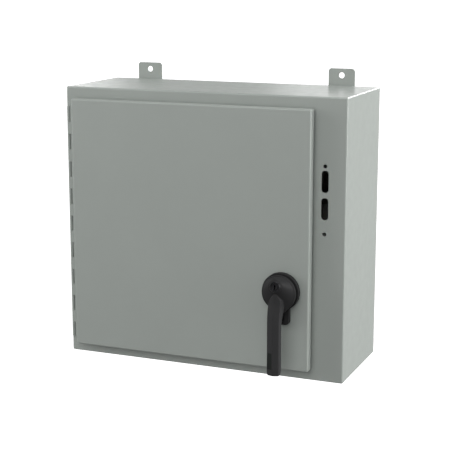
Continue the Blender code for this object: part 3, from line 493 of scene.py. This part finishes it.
def make_light():
    """A room that is brightest level with the switch, softboxes around it, and low lamps behind."""
    world = bpy.data.worlds.new("studio")
    bpy.context.scene.world = world
    world.use_nodes = True
    tree = world.node_tree
    height = tree.nodes.new("ShaderNodeSeparateXYZ")
    share = tree.nodes.new("ShaderNodeMapRange")
    share.inputs["From Min"].default_value = -1.0
    ramp_node = tree.nodes.new("ShaderNodeValToRGB")
    steps = ramp_node.color_ramp.elements    # 0 is straight down and 1 is straight up
    steps[0].position, steps[1].position = 0.15, 0.85
    steps[0].color = (0.32, 0.32, 0.32, 1)
    steps[1].color = (0.24, 0.24, 0.24, 1)
    steps.new(0.52).color = (0.52, 0.52, 0.52, 1)
    direction = tree.nodes.new("ShaderNodeTexCoord").outputs["Generated"]
    background = tree.nodes["Background"]
    tree.links.new(direction, height.inputs["Vector"])
    tree.links.new(height.outputs["Z"], share.inputs["Value"])
    tree.links.new(share.outputs["Result"], ramp_node.inputs["Fac"])
    tree.links.new(ramp_node.outputs["Color"], background.inputs["Color"])
    background.inputs["Strength"].default_value = 1.0
    area_light("left_softbox", (-2.7, -1.25, 0.8), (0, -0.2, 0), size=1.8, power=42)
    area_light("right_softbox", (3.0, 0.25, 0.7), (0.2, -0.1, 0.0), size=2.2, power=119)
    area_light("front_softbox", (0.1, -3.0, 1.9), (0, -0.1, 0), size=3.0, power=58)
    area_light("overhead_lamp", (0.2, -0.4, 3.0), (0.0, -0.15, 0.2), size=0.3, power=29)
    area_light("rear_softbox", (0.75, 3.0, 1.35), (0.2, -0.1, 0.2), size=1.2, power=34)
    area_light("rear_left_lamp", (-1.85, 2.6, 0.89), (-0.25, 0.0, 0.25), size=0.5, power=2.2)
    area_light("rear_middle_lamp", (-0.5, 2.9, 0.85), (0.25, 0.0, 0.25), size=1.0, power=3.2)
    bpy.context.scene.view_settings.view_transform = "Standard"


# ---- Enclosure ----


def collar_edges():
    """The door opening's edges: the gasket is centred on the collar's sheet."""
    return grown(edges_of("door_gasket"), -(GASKET_WIDTH + SHEET) / 2)


def make_cabinet():
    """The box as one folded skin: back, sides, front flanges, turned-out collar and inside."""
    outside = edges_of("cabinet_shell")
    inside = grown(outside, -SHEET)
    inner_bend = BEND - SHEET
    fillet = 0.0022
    edge = SHEET * 0.45
    turn = fillet + SHEET
    rings = []
    for sine, cosine in quarter(5):
        rings.append(bend_ring(outside, BEND, sine, BACK_Y - BEND * (1 - cosine)))
    for sine, cosine in quarter(6):
        rings.append(bend_ring(outside, BEND, cosine, FRONT_Y + BEND * (1 - sine)))
    collar = []
    for sine, cosine in quarter(5):
        collar.append((SHEET + fillet * (1 - sine), FRONT_Y - fillet * (1 - cosine)))
    for sine, cosine in quarter(3):
        collar.append((SHEET - edge * (1 - cosine), COLLAR_Y + edge * (1 - sine)))
    for sine, cosine in quarter(3):
        collar.append((edge * (1 - sine), COLLAR_Y + edge * (1 - cosine)))
    for sine, cosine in quarter(5):
        collar.append((turn * (1 - cosine), FRONT_Y + SHEET - turn * (1 - sine)))
    for reach, place in collar:
        rings.append((grown(collar_edges(), reach), COLLAR_CORNER + reach, place))
    for sine, cosine in quarter(3):
        place = FRONT_Y + SHEET + inner_bend * (1 - cosine)
        rings.append(bend_ring(inside, inner_bend, sine, place))
    for sine, cosine in quarter(3):
        place = BACK_Y - SHEET - inner_bend * (1 - sine)
        rings.append(bend_ring(inside, inner_bend, cosine, place))
    form = loft([frame_ring(*ring) for ring in rings])
    cabinet = new_piece("cabinet_box", form, "cabinet", materials["grey"])
    cutouts = [new_guide("cutout", cutout) for cutout in operator_cutouts()]
    combine(cabinet, "DIFFERENCE", *cutouts)
    cabinet.data.set_sharp_from_angle(angle=math.radians(SHARP))
    flatten(cabinet)
    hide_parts("cabinet_shell", "opening_collar")


def operator_cutouts():
    """The two slots and two screw holes of the operator flange."""
    depth = 0.02
    slot = rounded_rectangle(0.013, 0.0392, 0.00649, steps=12)
    hole = circle(0.0035, 28)
    forms = []
    for outline, name in ((slot, "operator_slot"), (hole, "operator_screw_hole")):
        places = [(place.x, FRONT_Y, place.z) for place in openings(name)]
        forms += [prism(outline, depth, place) for place in places]
    return forms


def make_feet():
    """Four pressed tabs, each with a punched bolt hole and a weld bead along both sides."""
    corner, bolt_radius, drill_depth, bead = 0.0055, 0.00555, 0.02, 0.0021
    inset = boxes["cabinet_shell"][1].z - BEND
    for side in ("top_left", "top_right", "bottom_left", "bottom_right"):
        node = f"foot_{side}"
        low, high = boxes[node]
        outline = rounded_rectangle(high.x - low.x, high.z - low.z, corner, steps=8)
        form = prism(outline, high.y - low.y, middle(node))
        foot = new_piece(f"mounting_{node}", form, "cabinet", materials["grey"])
        hole = openings(f"wall_bolt_{side}")[0]
        drill = prism(circle(bolt_radius), drill_depth, hole)
        combine(foot, "DIFFERENCE", new_guide("drill", drill))
        soften(foot, 0.0004, 2)
        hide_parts(node)
        start, end = (low.z, inset) if low.z > 0 else (-inset, high.z)
        for edge, x in (("left", low.x), ("right", high.x)):
            name = f"weld_{side}_{edge}"
            make_weld(name, x, BACK_Y + 0.0002, start + 0.009, end - 0.004, bead)


def make_weld(name, x, y, low, high, radius):
    """A weld bead up the back of the box, with tapered ends and ripples."""
    length = high - low
    steps, ripples, ripple_height, sides = 40, 10, 0.10, 12
    rings = []
    for step in range(steps + 1):
        share = step / steps
        taper = math.sqrt(max(0.02, 1 - (2 * share - 1) ** 8))
        ripple = 1 + ripple_height * math.cos(2 * math.pi * ripples * share)
        size = radius * taper * ripple
        rings.append([(x + u, y + v, low + length * share) for u, v in circle(size, sides)])
    new_piece(name, loft(rings), "cabinet", materials["grey"], 60)


# ---- Hinge ----


def leaf_outline(side, reach):
    """A leaf rolled round the pin, seen from above, as a solid P that is bored later."""
    inner = BARREL - LEAF
    meet = math.degrees(math.asin(inner / BARREL))
    roll = [(x, side * y) for x, y in arc((0, 0), BARREL, 90, 360 + meet, 30)]
    return roll + [(reach, side * inner), (reach, side * BARREL)]


def make_leaf(name, node, side, body, notches):
    """A hinge leaf of formed steel. Side is 1 for the cabinet's leaf and -1 for the door's."""
    low, high = boxes[node]
    centre = (HINGE.x, HINGE.y, (low.z + high.z) / 2)
    form = prism(leaf_outline(side, high.x - HINGE.x), high.z - low.z, centre, "XY")
    leaf = new_piece(name, form, body, materials["grey"])
    guides = [new_guide("bore", prism(circle(PIN_BORE, 24), 1.0, centre, "XY"))]
    for start, end in notches:
        corner = (HINGE.x - 0.006, HINGE.y - 0.006, start)
        far_corner = (HINGE.x + 0.0048, HINGE.y + 0.006, end)
        guides.append(new_guide("notch", cuboid(corner, far_corner)))
    combine(leaf, "DIFFERENCE", *guides)
    soften(leaf, 0.00018, 2, 50)
    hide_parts(node)


def make_hinge():
    """Two rolled leaves, whose knuckles alternate along the pin, and the pin."""
    low, high = boxes["hinge_body_leaf"]
    knuckles, knuckle, gap = 9, 0.028, 0.0004
    pitch = (high.z - low.z - knuckle) / (knuckles - 1)
    starts = [low.z + i * pitch for i in range(knuckles)]
    between = [(z + knuckle, z + pitch) for z in starts[:-1]]
    own = [(z - gap, z + knuckle + gap) for z in starts]
    make_leaf("hinge_leaf_cabinet", "hinge_body_leaf", 1, "cabinet", between)
    make_leaf("hinge_leaf_door", "hinge_door_leaf", -1, "door", own)
    pin_low, pin_high = boxes["hinge_pin"]
    profile = rod_profile(0.0015, pin_high.z - pin_low.z, 0.0003)
    foot = (HINGE.x, HINGE.y, pin_low.z)
    pin = zinc_piece("hinge_rod", turned(profile, foot, UP, 20), "cabinet")
    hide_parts("hinge_pin")


# ---- Door ----


def make_door():
    """The door pan: face, rounded bends, returns, and the flange turned in for the hinge."""
    low, high = boxes["door_panel"]
    bend, edge, boss_bore = 0.0028, 0.0005, 0.0092
    inner_bend = bend - SHEET
    outside = edges_of("door_panel")
    inside = grown(outside, -SHEET)
    rings = []
    for sine, cosine in quarter(6):
        rings.append(bend_ring(outside, bend, sine, low.y + bend * (1 - cosine)))
    for sine, cosine in quarter(2):
        rings.append((grown(outside, edge * (cosine - 1)), bend, high.y - edge * (1 - sine)))
    for sine, cosine in quarter(2):
        place = high.y - edge * (1 - cosine)
        rings.append((grown(inside, edge * (1 - sine)), inner_bend + edge, place))
    for sine, cosine in quarter(3):
        place = low.y + SHEET + inner_bend * (1 - sine)
        rings.append(bend_ring(inside, inner_bend, cosine, place))
    form = loft([frame_ring(*ring) for ring in rings])
    door = new_piece("door_pan", form, "door", materials["grey"])
    leaf_low, leaf_high = boxes["hinge_door_leaf"]
    flange_rear = leaf_low.y - 0.0003
    flange = cuboid(
        (low.x + SHEET / 2, flange_rear - SHEET, low.z + SHEET / 2),
        (leaf_high.x, flange_rear + 0.001, high.z - SHEET / 2),
    )
    combine(door, "UNION", new_guide("flange", flange))
    clearance = cuboid(
        (low.x - 0.005, flange_rear, low.z + 2 * SHEET),
        (leaf_high.x + 0.001, high.y + 0.01, high.z - 2 * SHEET),
    )
    handle_hole = prism(circle(boss_bore, 40), 0.02, (HANDLE.x, low.y, HANDLE.z))
    cutters = (new_guide("clearance", clearance), new_guide("handle_hole", handle_hole))
    combine(door, "DIFFERENCE", *cutters)
    door.data.set_sharp_from_angle(angle=math.radians(SHARP))
    flatten(door)
    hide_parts("door_panel")


def make_gasket():
    """The foam frame, crowned where it is free and dented where the collar presses it."""
    low, high = boxes["door_gasket"]
    outer = edges_of("door_gasket")
    depth = high.y - low.y
    corner, narrowing = 0.011, 0.008
    profile = [(0.0, 0.0), (0.0, 0.62), (0.08, 0.84), (0.2, 0.95), (0.34, 0.99), (0.44, 0.97)]
    profile += [(0.5, 0.955)]
    profile += [(1 - across, rise) for across, rise in reversed(profile[:-1])]
    rings = []
    for across, rise in profile:
        edges = grown(outer, -GASKET_WIDTH * across)
        rings.append(frame_ring(edges, corner - narrowing * across, low.y + depth * rise))
    form = loft(rings, closed=True)
    gasket = new_piece("foam_gasket", form, "door", materials["foam"])
    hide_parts("door_gasket")


# ---- Handle and lock ----


def hull(points):
    """The tightest form without hollows that holds all the points."""
    form = bmesh.new()
    for point in points:
        form.verts.new(point)
    bmesh.ops.convex_hull(form, input=form.verts)
    return form


def disc(radius, y, z=0.0):
    """Points on an upright circle at depth y, at height z from the handle's axis."""
    return [(u, y, v) for u, v in circle(radius, 40, (HANDLE.x, HANDLE.z + z))]


def hub_outline(radius, web_radius, y):
    """The hub's outline at depth y: its disc, and the small round end of its web below."""
    return disc(radius, y) + disc(web_radius, y, -0.0263)


def grip_section(z, half_width, front, back):
    """A level section of the grip: a low ridge in front, flat sides and a rounded back."""
    shoulder = front + RIDGE_SLOPE * half_width
    flat_x = (0, 0.5, 0.93, 1, 1, 0.94, 0.62, 0)
    flat_y = (front, (front + shoulder) / 2, shoulder, shoulder + 0.0016)
    flat_y += (back - 0.0040, back - 0.0012, back, back)
    right = [(half_width * x, y) for x, y in zip(flat_x, flat_y)]
    left = [(-x, y) for x, y in reversed(right[1:-1])]
    return [(HANDLE.x + x, DOOR_Y + y, HANDLE.z + z) for x, y in right + left]


def make_grip():
    """The grip: its pointed top starts below the lock, and its end hangs parallel to the door."""
    # Height from the handle's axis, half width, and places of front and back from the door.
    stations = [
        (0.0025, 0.0012, -0.0359, -0.0200),
        (-0.0020, 0.0052, -0.0376, -0.0200),
        (-0.0070, 0.0094, -0.0390, -0.0200),
        (-0.0112, 0.0118, -0.0402, -0.0200),
        (-0.0160, 0.0121, -0.0416, -0.0200),
        (-0.0240, 0.0120, -0.0442, -0.0200),
        (-0.0320, 0.0119, -0.0462, -0.0210),
        (-0.0370, 0.0118, -0.0471, -0.0235),
        (-0.0430, 0.0117, -0.0477, -0.0270),
        (-0.0500, 0.0117, -0.0480, -0.0292),
        (-0.0600, 0.0116, -0.0480, -0.0300),
        (-0.1000, 0.0115, -0.0480, -0.0300),
        (-0.1370, 0.0117, -0.0480, -0.0300),
        (-0.1408, 0.0115, -0.0477, -0.0304),
        (-0.1432, 0.0106, -0.0469, -0.0313),
        (-0.1440, 0.0088, -0.0450, -0.0330),
    ]
    return loft([grip_section(*station) for station in stations])


def grip_panel(inset, near, far):
    """A blank rectangle low on the grip's left front face, from depth near to far below it."""
    width, height, corner, front = 0.0092, 0.0300, 0.0012, 0.0480
    place = (-0.0056, -0.1170)
    size = (width - 2 * inset, height - 2 * inset)
    outline = rounded_rectangle(*size, corner - inset, place)
    rings = []
    for shift in (near, far):
        ring = [(x, RIDGE_SLOPE * -x - front + shift, z) for x, z in outline]
        rings.append([(HANDLE.x + x, DOOR_Y + y, HANDLE.z + z) for x, y, z in ring])
    return loft(rings)


def make_handle():
    """The cast handle: hub, domed hood with its lock boss, and grip, blended into one skin."""
    lock_z = LOCK.z - HANDLE.z
    rim = hub_outline(0.0316, 0.0130, HUB_BACK_Y - UNDERCUT)
    rim += hub_outline(0.0316, 0.0130, HANDLE.y + 0.0012)
    rim += hub_outline(0.0305, 0.0120, HANDLE.y)
    handle = new_piece("latch_lever", hull(rim), "latch_handle", materials["lever"])
    neck = hub_outline(0.0284, 0.0100, HUB_BACK_Y - 0.0002)
    neck += hub_outline(0.0284, 0.0100, HANDLE.y + 0.0010)
    hood = hub_outline(0.0302, 0.0118, HANDLE.y + 0.0006)
    hood += disc(0.0128, LOCK.y + 0.0018, lock_z)
    boss = disc(0.0116, HANDLE.y, lock_z) + disc(0.0112, LOCK.y, lock_z)
    forms = {"neck": hull(neck), "hood": hull(hood), "boss": hull(boss), "grip": make_grip()}
    combine(handle, "UNION", *(new_guide(name, form) for name, form in forms.items()))
    skin = handle.modifiers.new("skin", "REMESH")
    skin.mode = "VOXEL"
    skin.voxel_size = 0.0006
    smooth = handle.modifiers.new("smooth", "SMOOTH")
    smooth.factor = 0.5
    smooth.iterations = 8
    settle(handle)
    lock_hole = prism(circle(0.0084, 40), 0.03, (LOCK.x, LOCK.y + 0.001, LOCK.z))
    socket = prism(circle(SHAFT_BORE), 0.016, (HANDLE.x, HUB_BACK_Y, HANDLE.z))
    cutters = [new_guide("lock", lock_hole), new_guide("socket", socket)]
    cutters.append(new_guide("recess", grip_panel(0.0, -0.004, 0.0006)))
    combine(handle, "DIFFERENCE", *cutters)
    thin = handle.modifiers.new("thin", "DECIMATE")
    thin.ratio = 0.45
    settle(handle)
    handle.data.shade_smooth()
    handle.data.set_sharp_from_angle(angle=math.radians(50))
    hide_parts("handle")
    insert = grip_panel(0.0003, 0.00025, 0.00055)
    new_piece("grip_insert", insert, "latch_handle", materials["insert"])


def make_lock():
    """The key cylinder with its key slot, and the fixed ring around it."""
    length, radius = 0.0145, 0.0064
    profile = [(radius, 0), (radius, length - 0.0004)]
    profile += [(0.0058, length + 0.0002), (0.0030, length + 0.0002)]
    form = turned(profile, (LOCK.x, LOCK.y + length, LOCK.z), FRONT, 40)
    plug = new_piece("key_cylinder", form, "key_cylinder", materials["lock"])
    key = prism(rounded_rectangle(0.0020, 0.0090, 0.0008), 0.012, LOCK)
    keyhole = prism(circle(0.0019, 24), 0.012, LOCK + UP * 0.0022)
    combine(plug, "DIFFERENCE", new_guide("key", key), new_guide("keyhole", keyhole))
    soften(plug, 0.00012, 2)
    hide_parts("lock_plug")
    ring_profile = [
        (0.0067, 0.0),
        (0.0082, 0.0),
        (0.0082, 0.0120),
        (0.0096, 0.0122),
        (0.0098, 0.0130),
        (0.0092, 0.0138),
        (0.0072, 0.0136),
        (0.0067, 0.0130),
    ]
    form = tube(ring_profile, (LOCK.x, LOCK.y + 0.0128, LOCK.z), FRONT, 48)
    new_piece("lock_ring", form, "latch_handle", materials["lock"])


def make_rose():
    """The plate behind the handle, with its padlock tab."""
    low = boxes["escutcheon"][0]
    radius, half = 0.034, 0.0165
    drop = HANDLE.z - low.z
    corner = 0.006
    shoulder = math.degrees(math.acos(half / radius))
    edge = arc((0, 0), radius, -shoulder, 180 + shoulder, 72)
    edge += arc((-half + corner, corner - drop), corner, 180, 270, 8)
    edge += arc((half - corner, corner - drop), corner, 270, 360, 8)
    thickness = DOOR_Y - 0.0003 - low.y
    centre = (HANDLE.x, low.y + thickness / 2, HANDLE.z)
    form = prism(edge, thickness, centre)
    rose = new_piece("handle_rose", form, "door", materials["black"])
    start = (HANDLE.x, low.y - 0.02, HANDLE.z)
    bore = turned([(SHAFT_BORE, 0), (SHAFT_BORE, 0.08)], start, REAR, 40)
    padlock = openings("padlock_slot")[0]
    slot = prism(rounded_rectangle(0.0170, 0.0125, 0.0060, steps=8), 0.05, padlock)
    relief = cuboid(
        (HANDLE.x - 0.0075, DOOR_Y - 0.0070, low.z - 0.005),
        (HANDLE.x + 0.0075, DOOR_Y + 0.0020, padlock.z + 0.0055),
    )
    combine(rose, "DIFFERENCE", new_guide("slot", slot), new_guide("relief", relief))
    soften(rose, 0.0011, 3)
    settle(rose)
    boss = [(SHAFT_BORE, 0), (SHAFT_BORE, 0.0125), (0.0080, 0.0125), (0.0087, 0.0118), (0.0087, 0)]
    boss = tube(boss, (HANDLE.x, DOOR_Y - 0.0003, HANDLE.z), REAR, 40)
    combine(rose, "DIFFERENCE", new_guide("bore", bore))
    combine(rose, "UNION", new_guide("boss", boss))
    rose.data.set_sharp_from_angle(angle=math.radians(40))
    flatten(rose)
    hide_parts("escutcheon")
    # painted shade: a thin black sheet on the door under the rose, so the padlock slot and the hollow behind the
    # tab look dark
    shade_sheet = prism(edge, 0.0002, (HANDLE.x, DOOR_Y - 0.00015, HANDLE.z))
    shade_sheet = new_piece("rose_shade_sheet", shade_sheet, "door", materials["black"])
    shade_sheet_bore = prism(circle(0.0090, 40), 0.01, (HANDLE.x, DOOR_Y, HANDLE.z))
    combine(shade_sheet, "DIFFERENCE", new_guide("shade_sheet_bore", shade_sheet_bore))


# ---- Fasteners ----


def hex_nut(name, foot, axis, corner, height, body, bore=None):
    """A chamfered hexagon that stands on foot and grows along the axis."""
    nut = zinc_piece(name, turned([(corner, 0), (corner, height)], foot, axis, 6), body)
    slope, proud = corner * 0.14, 0.0001
    chamfer = [(corner - slope, -proud), (corner * 1.02, slope * 0.6)]
    chamfer += [(corner * 1.02, height - slope * 0.6), (corner - slope, height + proud)]
    combine(nut, "INTERSECT", new_guide("chamfer", turned(chamfer, foot, axis, 48)))
    if bore is not None:
        hole = turned([(bore, -0.001), (bore, height + 0.001)], foot, axis)
        combine(nut, "DIFFERENCE", new_guide("bore", hole))
    soften(nut, 0.00015, 2)


def thread(name, foot, axis, radius, length, body):
    """A threaded rod, with its crests and roots as rings."""
    pitch = radius * 0.30
    profile = [(radius * 0.80, 0)]
    for i in range(int(length / pitch) - 1):
        profile += [(radius, (i + 0.5) * pitch), (radius * 0.86, (i + 1) * pitch)]
    profile += [(radius * 0.97, length - 0.6 * pitch), (radius * 0.75, length)]
    return zinc_piece(name, turned(profile, foot, axis, 24), body, 60)


def washer(name, foot, axis, outer, inner, thickness, body):
    edge = thickness * 0.25
    profile = [(inner, 0), (inner, thickness), (outer - edge, thickness)]
    profile += [(outer, thickness - edge), (outer, edge), (outer - edge, 0)]
    zinc_piece(name, tube(profile, foot, axis, 36), body)


def screw_head(name, foot, axis, radius, height, body, recess="cross"):
    """A domed head with a cross or hexagon recess."""
    dome = [(radius * 0.96, 0), (radius, height * 0.25), (radius * 0.92, height * 0.65)]
    dome += [(radius * 0.70, height * 0.9), (radius * 0.35, height)]
    head = zinc_piece(name, turned(dome, foot, axis, 28), body)
    top = Vector(foot) + Vector(axis) * height
    depth = height * 0.45
    if recess == "hexagon":
        reach = radius * 0.55
        recesses = [turned([(reach, -depth), (reach, depth)], top, axis, 6)]
    else:
        long, short = radius * 0.62, radius * 0.13
        recesses = []
        for x, y in ((long, short), (short, long)):
            flat = ((-x, -y), (x, -y), (x, y), (-x, y))
            rows = [[(u, v, shift) for u, v in flat] for shift in (-depth, depth)]
            recesses.append(loft([placed(row, top, axis) for row in rows]))
    for form in recesses:
        combine(head, "DIFFERENCE", new_guide("recess", form))
    head.data.set_sharp_from_angle(angle=math.radians(SHARP))


# ---- Inside ----


def refine(node, material, width=0.0003, segments=2):
    """Keeps a CAD solid, with flat faces merged, edges softened and a finer material."""
    piece = frame["nodes"][node]
    merge = piece.modifiers.new("merge", "DECIMATE")
    merge.decimate_type = "DISSOLVE"
    merge.angle_limit = math.radians(1)
    soften(piece, width, segments)
    piece.data.materials.clear()
    piece.data.materials.append(materials[material])


def make_panel():
    """The sub-panel on its studs, each with a collar behind, and a washer and nut in front."""
    refine("subpanel", "white", 0.0006, 3)
    panel_front, panel_back = (corner.y for corner in boxes["subpanel"])
    gap = 0.0003
    for i in range(1, 5):
        low, high = boxes[f"panel_stud_{i}"]
        centre = middle(f"panel_stud_{i}")
        root = Vector((centre.x, high.y, centre.z))
        face = Vector((centre.x, panel_front - gap, centre.z))
        shoulder = high.y - panel_back - gap
        stud = thread(f"stud_{i}", root, FRONT, 0.0047, high.y - low.y, "cabinet")
        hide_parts(f"panel_stud_{i}")
        washer(f"stud_collar_{i}", root, FRONT, 0.0080, 0.0048, shoulder, "cabinet")
        washer(f"stud_washer_{i}", face, FRONT, 0.0095, 0.0049, 0.0012, "cabinet")
        seat = face + FRONT * 0.0013
        hex_nut(f"stud_nut_{i}", seat, FRONT, 0.00825, 0.0068, "cabinet", 0.0046)


def make_lug(node):
    """A tin-plated box lug: a round wire hole and a socket set screw."""
    low, high = boxes[node]
    front = low.y + 0.003
    wire_y, wire_radius, past = high.y - 0.0081, 0.0045, 0.002
    centre = middle(node)
    form = cuboid((low.x, front, low.z), high)
    lug = new_piece(f"{node}_body", form, "cabinet", materials["tin"])
    start = (centre.x, wire_y, low.z - past)
    length = high.z - low.z + 2 * past
    hole = turned([(wire_radius, 0), (wire_radius, length)], start, UP, 36)
    combine(lug, "DIFFERENCE", new_guide("wire_hole", hole))
    soften(lug, 0.0007, 3)
    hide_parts(node)
    seat = (centre.x, front + 0.0004, centre.z)
    screw_head(f"{node}_screw", seat, FRONT, 0.0040, 0.0030, "cabinet", "hexagon")


def make_fuse(node):
    """A cartridge fuse: fibre tube with two plain bands, and a spun cap on each end."""
    low, high = boxes[node]
    centre = middle(node)
    foot = Vector((centre.x, centre.y, low.z))
    length = high.z - low.z
    cap, cap_length, bore = 0.0135, 0.016, 0.0127
    form = turned([(bore, 0.001), (bore, length - 0.001)], foot, UP, 48)
    body = new_piece(f"{node}_tube", form, "cabinet", materials["fibre"])
    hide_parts(node)
    for side, start, axis in (("lower", foot, UP), ("upper", foot + UP * length, -UP)):
        rim = [
            (0.0040, 0.0002),
            (cap - 0.0016, 0.0),
            (cap - 0.0005, 0.0004),
            (cap, 0.0014),
            (cap, 0.0105),
            (cap - 0.0005, 0.0110),
            (cap - 0.0005, 0.0122),
            (cap, 0.0127),
            (cap, cap_length - 0.0003),
            (cap - 0.0003, cap_length),
            (bore - 0.0002, cap_length),
        ]
        form = turned(rim, start, axis, 48)
        new_piece(f"{node}_cap_{side}", form, "cabinet", materials["copper"])
        low_edge, high_edge, round_edge = cap_length + 0.006, cap_length + 0.011, 0.0002
        band = [
            (bore + 0.00005, low_edge),
            (bore + 0.00015, low_edge + round_edge),
            (bore + 0.00015, high_edge - round_edge),
            (bore + 0.00005, high_edge),
            (bore - 0.0003, high_edge),
            (bore - 0.0003, low_edge),
        ]
        form = tube(band, start, axis, 48)
        new_piece(f"{node}_band_{side}", form, "cabinet", materials["band"])


def make_bases():
    """The moulded bases, each with a screw and washer near its corners."""
    inset_x, inset_z, washer_thickness = 0.010, 0.009, 0.0008
    for node in ("switch_base", "fuse_base"):
        refine(node, "thermoset", 0.0007, 3)
        low, high = boxes[node]
        face = boxes["line_jaw_1"][1].y + 0.0003
        for column, x in (("left", low.x + inset_x), ("right", high.x - inset_x)):
            for row, z in (("low", low.z + inset_z), ("high", high.z - inset_z)):
                name = f"{node}_screw_{column}_{row}"
                seat = (x, face, z)
                washer(f"{name}_washer", seat, FRONT, 0.0050, 0.0022, washer_thickness, "cabinet")
                seat = (x, face - washer_thickness, z)
                screw_head(name, seat, FRONT, 0.0040, 0.0026, "cabinet")


def rod_profile(radius, length, edge=0.0006):
    """The profile of a round bar with a small chamfer at both ends."""
    return [(radius - edge, 0), (radius, edge), (radius, length - edge), (radius - edge, length)]


def make_rotor():
    """The moulded bar on its steel shaft."""
    low, high = boxes["rotor_bar"]
    along = Vector((1, 0, 0))
    bar_start, bar_radius, shaft_radius, gap = 0.009, 0.009, 0.006, 0.0005
    length = boxes["switch_base"][1].x - gap - bar_start
    start = (bar_start, ROTOR.y, ROTOR.z)
    form = turned(rod_profile(bar_radius, length), start, along, 48)
    insulator = materials["red_thermoset"]
    bar = new_piece("rotor_bar_moulding", form, "switch_rotor", insulator)
    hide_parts("rotor_bar")
    start = (low.x, ROTOR.y, ROTOR.z)
    form = turned(rod_profile(shaft_radius, high.x - low.x), start, along, 40)
    zinc_piece("rotor_shaft", form, "switch_rotor")


def make_spring():
    """The torsion spring: close turns around the shaft, with a leg at each end."""
    low, high = boxes["torsion_spring"]
    wire = 0.0009
    radius = (high.z - low.z) / 2 - 0.001
    turns, steps = 3.5, 28
    count = int(turns * steps)
    start, end = low.x + wire, high.x - wire
    path = []
    for step in range(count + 1):
        angle = 2 * math.pi * step / steps
        x = start + (end - start) * step / count
        y, z = ROTOR.y + radius * math.cos(angle), ROTOR.z + radius * math.sin(angle)
        path.append(Vector((x, y, z)))
    path.insert(0, path[0] + Vector((0, 0.0004, -0.009)))
    path.append(path[-1] + Vector((0, -0.0004, -0.009)))
    form = swept(path, wire, 10)
    spring = new_piece("mechanism_spring", form, "cabinet", materials["spring"])
    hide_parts("torsion_spring")


def swept(path, radius, sides):
    """A round wire along a path of points."""
    rings = []
    normal = None
    for i, point in enumerate(path):
        before = path[max(i - 1, 0)]
        after = path[min(i + 1, len(path) - 1)]
        direction = (after - before).normalized()
        if normal is None:
            normal = direction.orthogonal().normalized()
        normal = (normal - direction * normal.dot(direction)).normalized()
        other = direction.cross(normal)
        rings.append([point + normal * u + other * v for u, v in circle(radius, sides)])
    return loft(rings)


def make_roller(node, body):
    """A nylon roller with rounded rims, turning on its pin."""
    low, high = boxes[node]
    length = high.x - low.x
    outer, inner, edge, bevel = (high.z - low.z) / 2, 0.0015, 0.0009, 0.0002
    profile = [
        (inner, bevel),
        (inner + bevel, 0),
        (outer - edge, 0),
        (outer - 0.25 * edge, 0.25 * edge),
        (outer, edge),
        (outer, length - edge),
        (outer - 0.25 * edge, length - 0.25 * edge),
        (outer - edge, length),
        (inner + bevel, length),
        (inner, length - bevel),
    ]
    centre = middle(node)
    form = tube(profile, (low.x, centre.y, centre.z), (1, 0, 0), 48)
    roller = new_piece(f"{node}_wheel", form, body, materials["nylon"])
    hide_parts(node)


def make_latch():
    """The latch behind the door: rods in their guides, rollers, cam and shaft."""
    for node in ("upper_rod", "lower_rod", "upper_rod_guide", "lower_rod_guide"):
        refine(node, "zinc")
    refine("latch_cam", "zinc", 0.0004)
    refine("latch_nut", "zinc", 0.0005)
    refine("latch_shaft", "zinc", 0.0004)
    make_roller("upper_roller", "upper_latch_roller")
    make_roller("lower_roller", "lower_latch_roller")
    cam_rear = boxes["latch_shaft"][1].y
    seat = (HANDLE.x, cam_rear + 0.0001, HANDLE.z)
    hex_nut("cam_screw", seat, REAR, 0.0043, 0.0030, "latch_handle")


def make_contacts():
    """What carries the current: jaws, blades, clips, fuses and wire lugs."""
    for i in (1, 2, 3):
        refine(f"line_jaw_{i}", "copper")
        refine(f"pivot_clip_{i}", "copper", 0.0002)
        refine(f"lower_clip_{i}", "copper", 0.0002)
        refine(f"blade_{i}", "copper", 0.0006, 3)
        make_fuse(f"fuse_{i}")
        make_lug(f"line_lug_{i}")
        make_lug(f"load_lug_{i}")
    make_lug("ground_lug")


def make_pocket():
    """The drawing pocket: a moulded tray, open at the top, with a thumb notch in its front."""
    low, high = boxes["data_pocket"]
    centre = middle("data_pocket")
    width, depth, height = high - low
    wall, corner, lip = 0.0020, 0.009, 0.0035
    back = rounded_rectangle(width, height, corner, steps=8)
    front = rounded_rectangle(width - 2 * lip, height - 2 * lip, corner - lip / 2, steps=8)
    rings = []
    for outline, y in ((back, low.y), (back, high.y - 0.004), (front, high.y)):
        rings.append([(centre.x + x, y, centre.z + z) for x, z in outline])
    form = loft(rings)
    pocket = new_piece("drawing_pocket", form, "door", materials["pocket"])
    inner = rounded_rectangle(width - 2 * wall, height, corner - wall, steps=8)
    inner_depth = depth - 2 * wall - 0.001
    place = (centre.x, low.y + wall + inner_depth / 2, centre.z + wall + 0.006)
    notch_place = (centre.x, high.y, high.z)
    cavity = new_guide("cavity", prism(inner, inner_depth, place))
    notch = new_guide("notch", prism(circle(0.026, 48), 0.014, notch_place))
    combine(pocket, "DIFFERENCE", cavity, notch)
    soften(pocket, 0.0008, 3)
    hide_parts("data_pocket")


def make_inside():
    make_panel()
    make_bases()
    make_contacts()
    make_rotor()
    make_spring()
    make_latch()
    refine("mechanism_bracket", "zinc", 0.0005, 3)
    refine("operating_lever", "zinc", 0.0005, 3)
    refine("line_shield", "clear", 0.0004)
    make_pocket()


make_camera()
make_light()
make_stage()
make_cabinet()
make_feet()
make_hinge()
make_door()
make_gasket()
make_handle()
make_lock()
make_rose()
make_inside()
